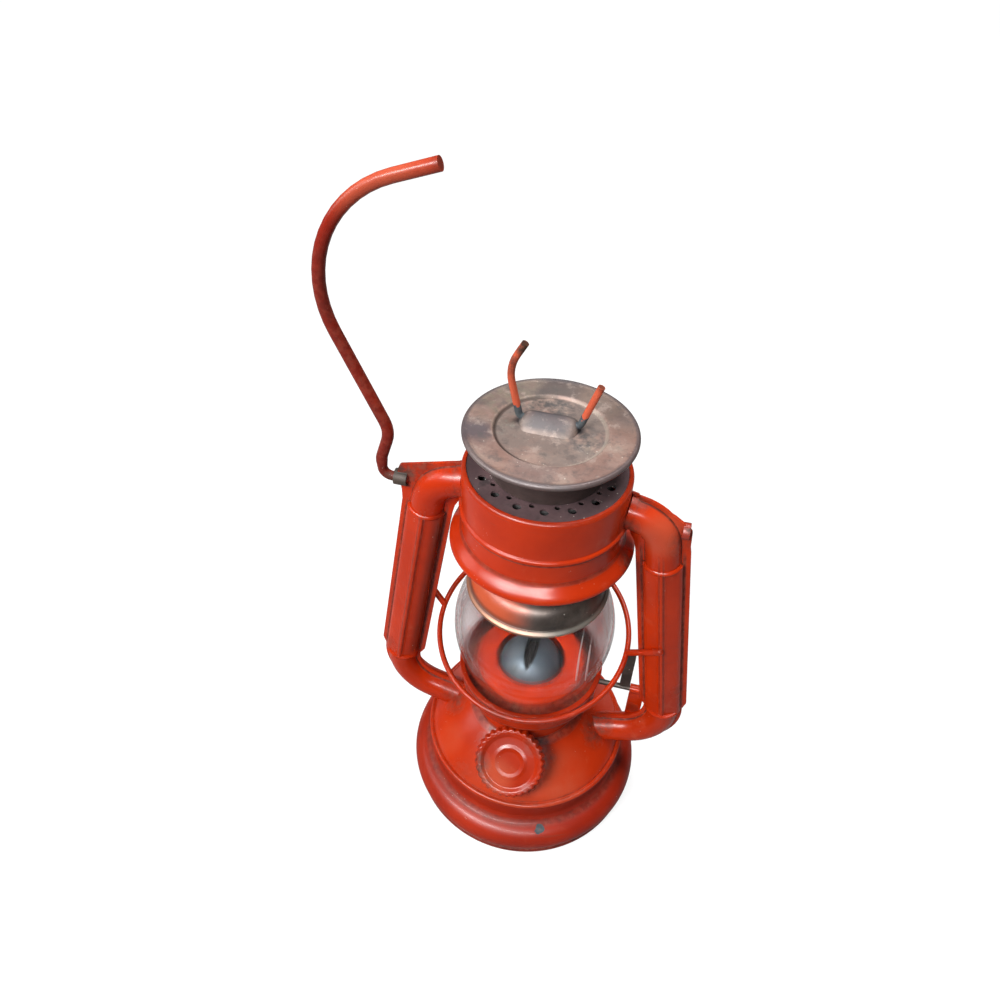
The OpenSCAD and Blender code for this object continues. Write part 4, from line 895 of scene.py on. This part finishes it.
guard = {"radius": 39.0, "wire": 1.1, "z": 96.0, "tilt": 16, "rod": 1.35, "rodAngle": -3, "rodY": -7.85, "rodZ": 108.0,
         "rodPast": 0.5}
guardPaint = enamelMaterial("guard enamel", shade=0.2, grimeSpots=[((0, -38, 85), 20, 0.45), ((51, -7, 107), 4, 0.6)])
clearSelection()
bpy.ops.mesh.primitive_torus_add(
    major_radius=guard["radius"] * mm, minor_radius=guard["wire"] * mm, major_segments=120, minor_segments=14,
    location=(0, 0, guard["z"] * mm), rotation=(radians(guard["tilt"]), 0, 0))
guardRing = bpy.context.object
fixTransform(guardRing)


def guardPoint(angle):
    a, t = radians(angle), radians(guard["tilt"])
    return Vector((cos(a), sin(a) * cos(t), sin(a) * sin(t))) * guard["radius"] + Vector((0, 0, guard["z"]))


def straightRod(a, b):
    clearSelection()
    bpy.ops.mesh.primitive_cylinder_add(vertices=14, radius=guard["rod"] * mm, depth=(b - a).length * mm)
    piece = bpy.context.object
    piece.matrix_world = Matrix.Translation((a + b) / 2 * mm) @ (b - a).to_track_quat("Z", "Y").to_matrix().to_4x4()
    fixTransform(piece)
    bevelEdges(piece, guard["rod"] / 2, 3)
    return piece


columnX = columnTop.x + (columnTop.y - guard["rodZ"]) * lean  # the column's middle at the rod's height
rodEnd = Vector((columnX + guard["rodPast"], guard["rodY"], guard["rodZ"]))
rods = [straightRod(guardPoint(guard["rodAngle"]), rodEnd),
        straightRod(guardPoint(guard["rodAngle"] + 180), Vector((-rodEnd.x, -rodEnd.y, rodEnd.z)))]
guardRing = joined("guardRing", [guardRing] + rods)
finishPiece(guardRing, "frame", ["guard_ring"], guardPaint, 50)
print("wires done")

# wick and hood spring

wickSize = {"thick": 2.0, "wide": 12.0, "low": 11.0, "high": 80.7, "bevel": 0.8, "weave": 5.2, "burnt": (74.5, 77.5)}


def cottonMaterial():
    material, shader, place = newMaterial("wick cotton")
    y, z = axesOf(place)[1:]
    weave = (y * wickSize["weave"]).wave() * (z * wickSize["weave"]).wave() * 0.5 + 0.5
    fray = place.noise(500, 4, 0.65)
    color = weave.mix(rgb(150, 132, 100), rgb(198, 180, 146))
    color = (fray.step(0.45, 0.7) * 0.5).mix(color, rgb(120, 100, 74))
    burnt = (z + fray * 3).step(*wickSize["burnt"])
    color = burnt.mix(color, fray.step(0.4, 0.65).mix(rgb(12, 11, 11), rgb(30, 26, 23)))
    feed(shader, color=color, rough=0.9 + fray * 0.1, normal=bumped(weave * 0.7 + fray * 0.5, 0.6, 0.2))
    return material


clearSelection()
bpy.ops.mesh.primitive_cube_add(size=1, location=(0, 0, (wickSize["low"] + wickSize["high"]) / 2 * mm))
wickStrip = bpy.context.object
nameBoth(wickStrip, "wickStrip")
wickStrip.scale = (wickSize["thick"] * mm, wickSize["wide"] * mm, (wickSize["high"] - wickSize["low"]) * mm)
fixTransform(wickStrip)
bevelEdges(wickStrip, wickSize["bevel"], 4)
finishPiece(wickStrip, "wick_body", ["wick"], cottonMaterial(), 60)

coil = {"radius": 21.6, "wire": 0.6, "low": 164.75, "middle": 173.5, "high": 182.25, "turns": 2}
springMetal = metalMaterial("spring metal", "soot", 0.15, (52, 46, 42))


def halfCoil(name, low, high, end):  # some open turns and one closed turn at the end
    wire = drawLoop(name, [(coil["radius"] + u, 0, low + v) for u, v in circle(coil["wire"], 12)])
    bpy.ops.object.mode_set(mode="OBJECT")
    useModifier(wire, "SCREW", angle=2 * pi, screw_offset=(high - low) / coil["turns"] * mm, iterations=coil["turns"],
                steps=40, render_steps=40, axis="Z", use_merge_vertices=False)
    clearSelection()
    bpy.ops.mesh.primitive_torus_add(major_radius=coil["radius"] * mm, minor_radius=coil["wire"] * mm,
                                     major_segments=64, minor_segments=12, location=(0, 0, end * mm))
    endTurn = bpy.context.object
    fixTransform(endTurn)
    return joined(name, [wire, endTurn])


# the upper turns take up the globe's lift, the lower ones ride with the globe and take up the hood's
upperCoil = halfCoil("hoodSpringUpper", coil["middle"], coil["high"], coil["high"])
finishPiece(upperCoil, "frame", ["hood_spring"], springMetal, 60)
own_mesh(upperCoil)
lowerCoil = halfCoil("hoodSpringLower", coil["low"], coil["middle"], coil["low"])
finishPiece(lowerCoil, "carrier", ["hood_spring"], springMetal, 60)
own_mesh(lowerCoil)
print("wick and spring done")

# pieces that keep their CAD shape get a finish

def rubberMaterial():
    material, shader, place = newMaterial("gasket rubber")
    grain = place.noise(500, 4, 0.6)
    bloom = place.noise(90, 4)
    feed(shader, color=bloom.step(0.4, 0.65).mix(rgb(26, 25, 25), rgb(48, 46, 44)), rough=0.6 + grain * 0.25,
         normal=bumped(grain, 0.4, 0.1))
    return material


ventMetal = metalMaterial("vent metal", "vent", 0.2, (104, 84, 84))
sootMetal = metalMaterial("sooty metal", "soot", 0.1, (46, 42, 40))
darkMetal = metalMaterial("dark metal", "dark", 0.2)
dullMetal = metalMaterial("dull metal", "dull", 0.2)
brassMetal = metalMaterial("aged brass", "brass", 0.15)
bracketPaint = enamelMaterial("bracket enamel", grimeSpots=[((47, 4, 50), 6, 0.6)])
carried = {
    "vent_plate": ventMetal, "chamber_floor": sootMetal, "lift_lever": darkMetal, "lever_bracket": bracketPaint,
    "air_trunk": dullMetal, "filler_neck": tankPaint, "cap_gasket": rubberMaterial(), "burner_collar": brassMetal,
    "burner_body": sootMetal, "wick_tube": sootMetal, "wick_shaft": dullMetal, "wick_wheels": dullMetal,
    "wick_knob": dullMetal, "spring_collar": sootMetal}
for node, material in carried.items():
    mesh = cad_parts[node].data
    mesh.materials.clear()
    mesh.materials.append(material)
print("carried nodes done")

# stage: floor, light and camera

stage = {"size": 6, "drop": 0.0002, "grey": (132, 132, 132), "speckle": (124, 124, 124), "far": 0.97, "near": 0.85,
         "mirrored": 0.1, "skyLight": 0.15, "skyMirrored": 0.05}


def raysOf(tree):  # rays that see the white background, and mirrored rays
    path = tree.nodes.new("ShaderNodeLightPath")
    straight, through, glossy = (Sock(tree, path.outputs["Is %s Ray" % kind])
                                 for kind in ("Camera", "Transmission", "Glossy"))
    return straight.most(through), glossy


def floorMaterial():
    material, shader, place = newMaterial("pale floor")
    tree = material.node_tree
    speckle = place.noise(60, 3).step(0.3, 0.7)
    feed(shader, color=speckle.mix(rgb(*stage["grey"]), rgb(*stage["speckle"])), rough=0.95)
    seen, glossy = raysOf(tree)
    seen = seen.most(glossy * stage["mirrored"])
    pale = place.near((0, 60, 0), 1100).mix((*[stage["far"]] * 3, 1), (*[stage["near"]] * 3, 1))
    glow = seen.make("ShaderNodeEmission", {}, {"Color": pale, "Strength": seen})
    both = seen.make("ShaderNodeAddShader", {}, {0: Sock(tree, shader.outputs[0]), 1: glow})
    tree.links.new(both.socket, tree.nodes["Material Output"].inputs["Surface"])
    return material


clearSelection()
bpy.ops.mesh.primitive_plane_add(size=stage["size"], location=(0, 0, -stage["drop"]))
floor = bpy.context.object
floor.name = "floor"
floor.data.materials.append(floorMaterial())

world = bpy.context.scene.world or bpy.data.worlds.new("studio")
bpy.context.scene.world = world
world.use_nodes = True
skyTree = world.node_tree
sky = skyTree.nodes["Background"]
sky.inputs["Color"].default_value = (1, 1, 1, 1)
shown, mirrored = raysOf(skyTree)
level = stage["skyLight"] - mirrored * (stage["skyLight"] - stage["skyMirrored"]) + shown * (1 - stage["skyLight"])
skyTree.links.new(level.socket, sky.inputs["Strength"])


def areaLamp(name, place, aim, size, power, wide=0.0):
    clearSelection()
    bpy.ops.object.light_add(type="AREA", location=place)
    lamp = bpy.context.object
    lamp.name = name
    lamp.data.shape = "RECTANGLE" if wide else "DISK"
    lamp.data.size = wide or size
    lamp.data.size_y = size
    lamp.data.energy = power
    lamp.rotation_euler = (Vector(aim) - Vector(place)).to_track_quat("-Z", "Y").to_euler()
    return lamp


areaLamp("keyLamp", (-0.36, -0.62, 0.74), (0, 0, 0.11), size=0.4, power=8)
areaLamp("topLamp", (0.15, 0.15, 1.1), (0, 0, 0.1), size=0.5, power=8.5)
areaLamp("leftLamp", (-0.8, -0.1, 0.5), (0, 0, 0.1), size=0.4, power=2)
stripLamp = areaLamp("stripLamp", (-0.2, -0.6, 0.72), (0, 0, 0.13), size=0.12, power=24, wide=1.2)
stripLamp.visible_diffuse = False  # only for the shine along the beads

shot = {"place": (0.0314, -0.2094, 0.3608), "pitch": 42.54, "turn": 12.82, "roll": 2.06, "lens": 29.106}
clearSelection()
bpy.ops.object.camera_add(location=shot["place"])
camera = bpy.context.object
camera.rotation_euler = (Matrix.Rotation(radians(shot["turn"]), 3, "Z")
                         @ Matrix.Rotation(radians(90 - shot["pitch"]), 3, "X")
                         @ Matrix.Rotation(radians(shot["roll"]), 3, "Z")).to_euler()
camera.data.sensor_width = 36
camera.data.lens = shot["lens"]
camera.data.clip_start = 0.01
bpy.context.scene.camera = camera
bpy.context.scene.view_settings.view_transform = "Standard"

print("scene ready")
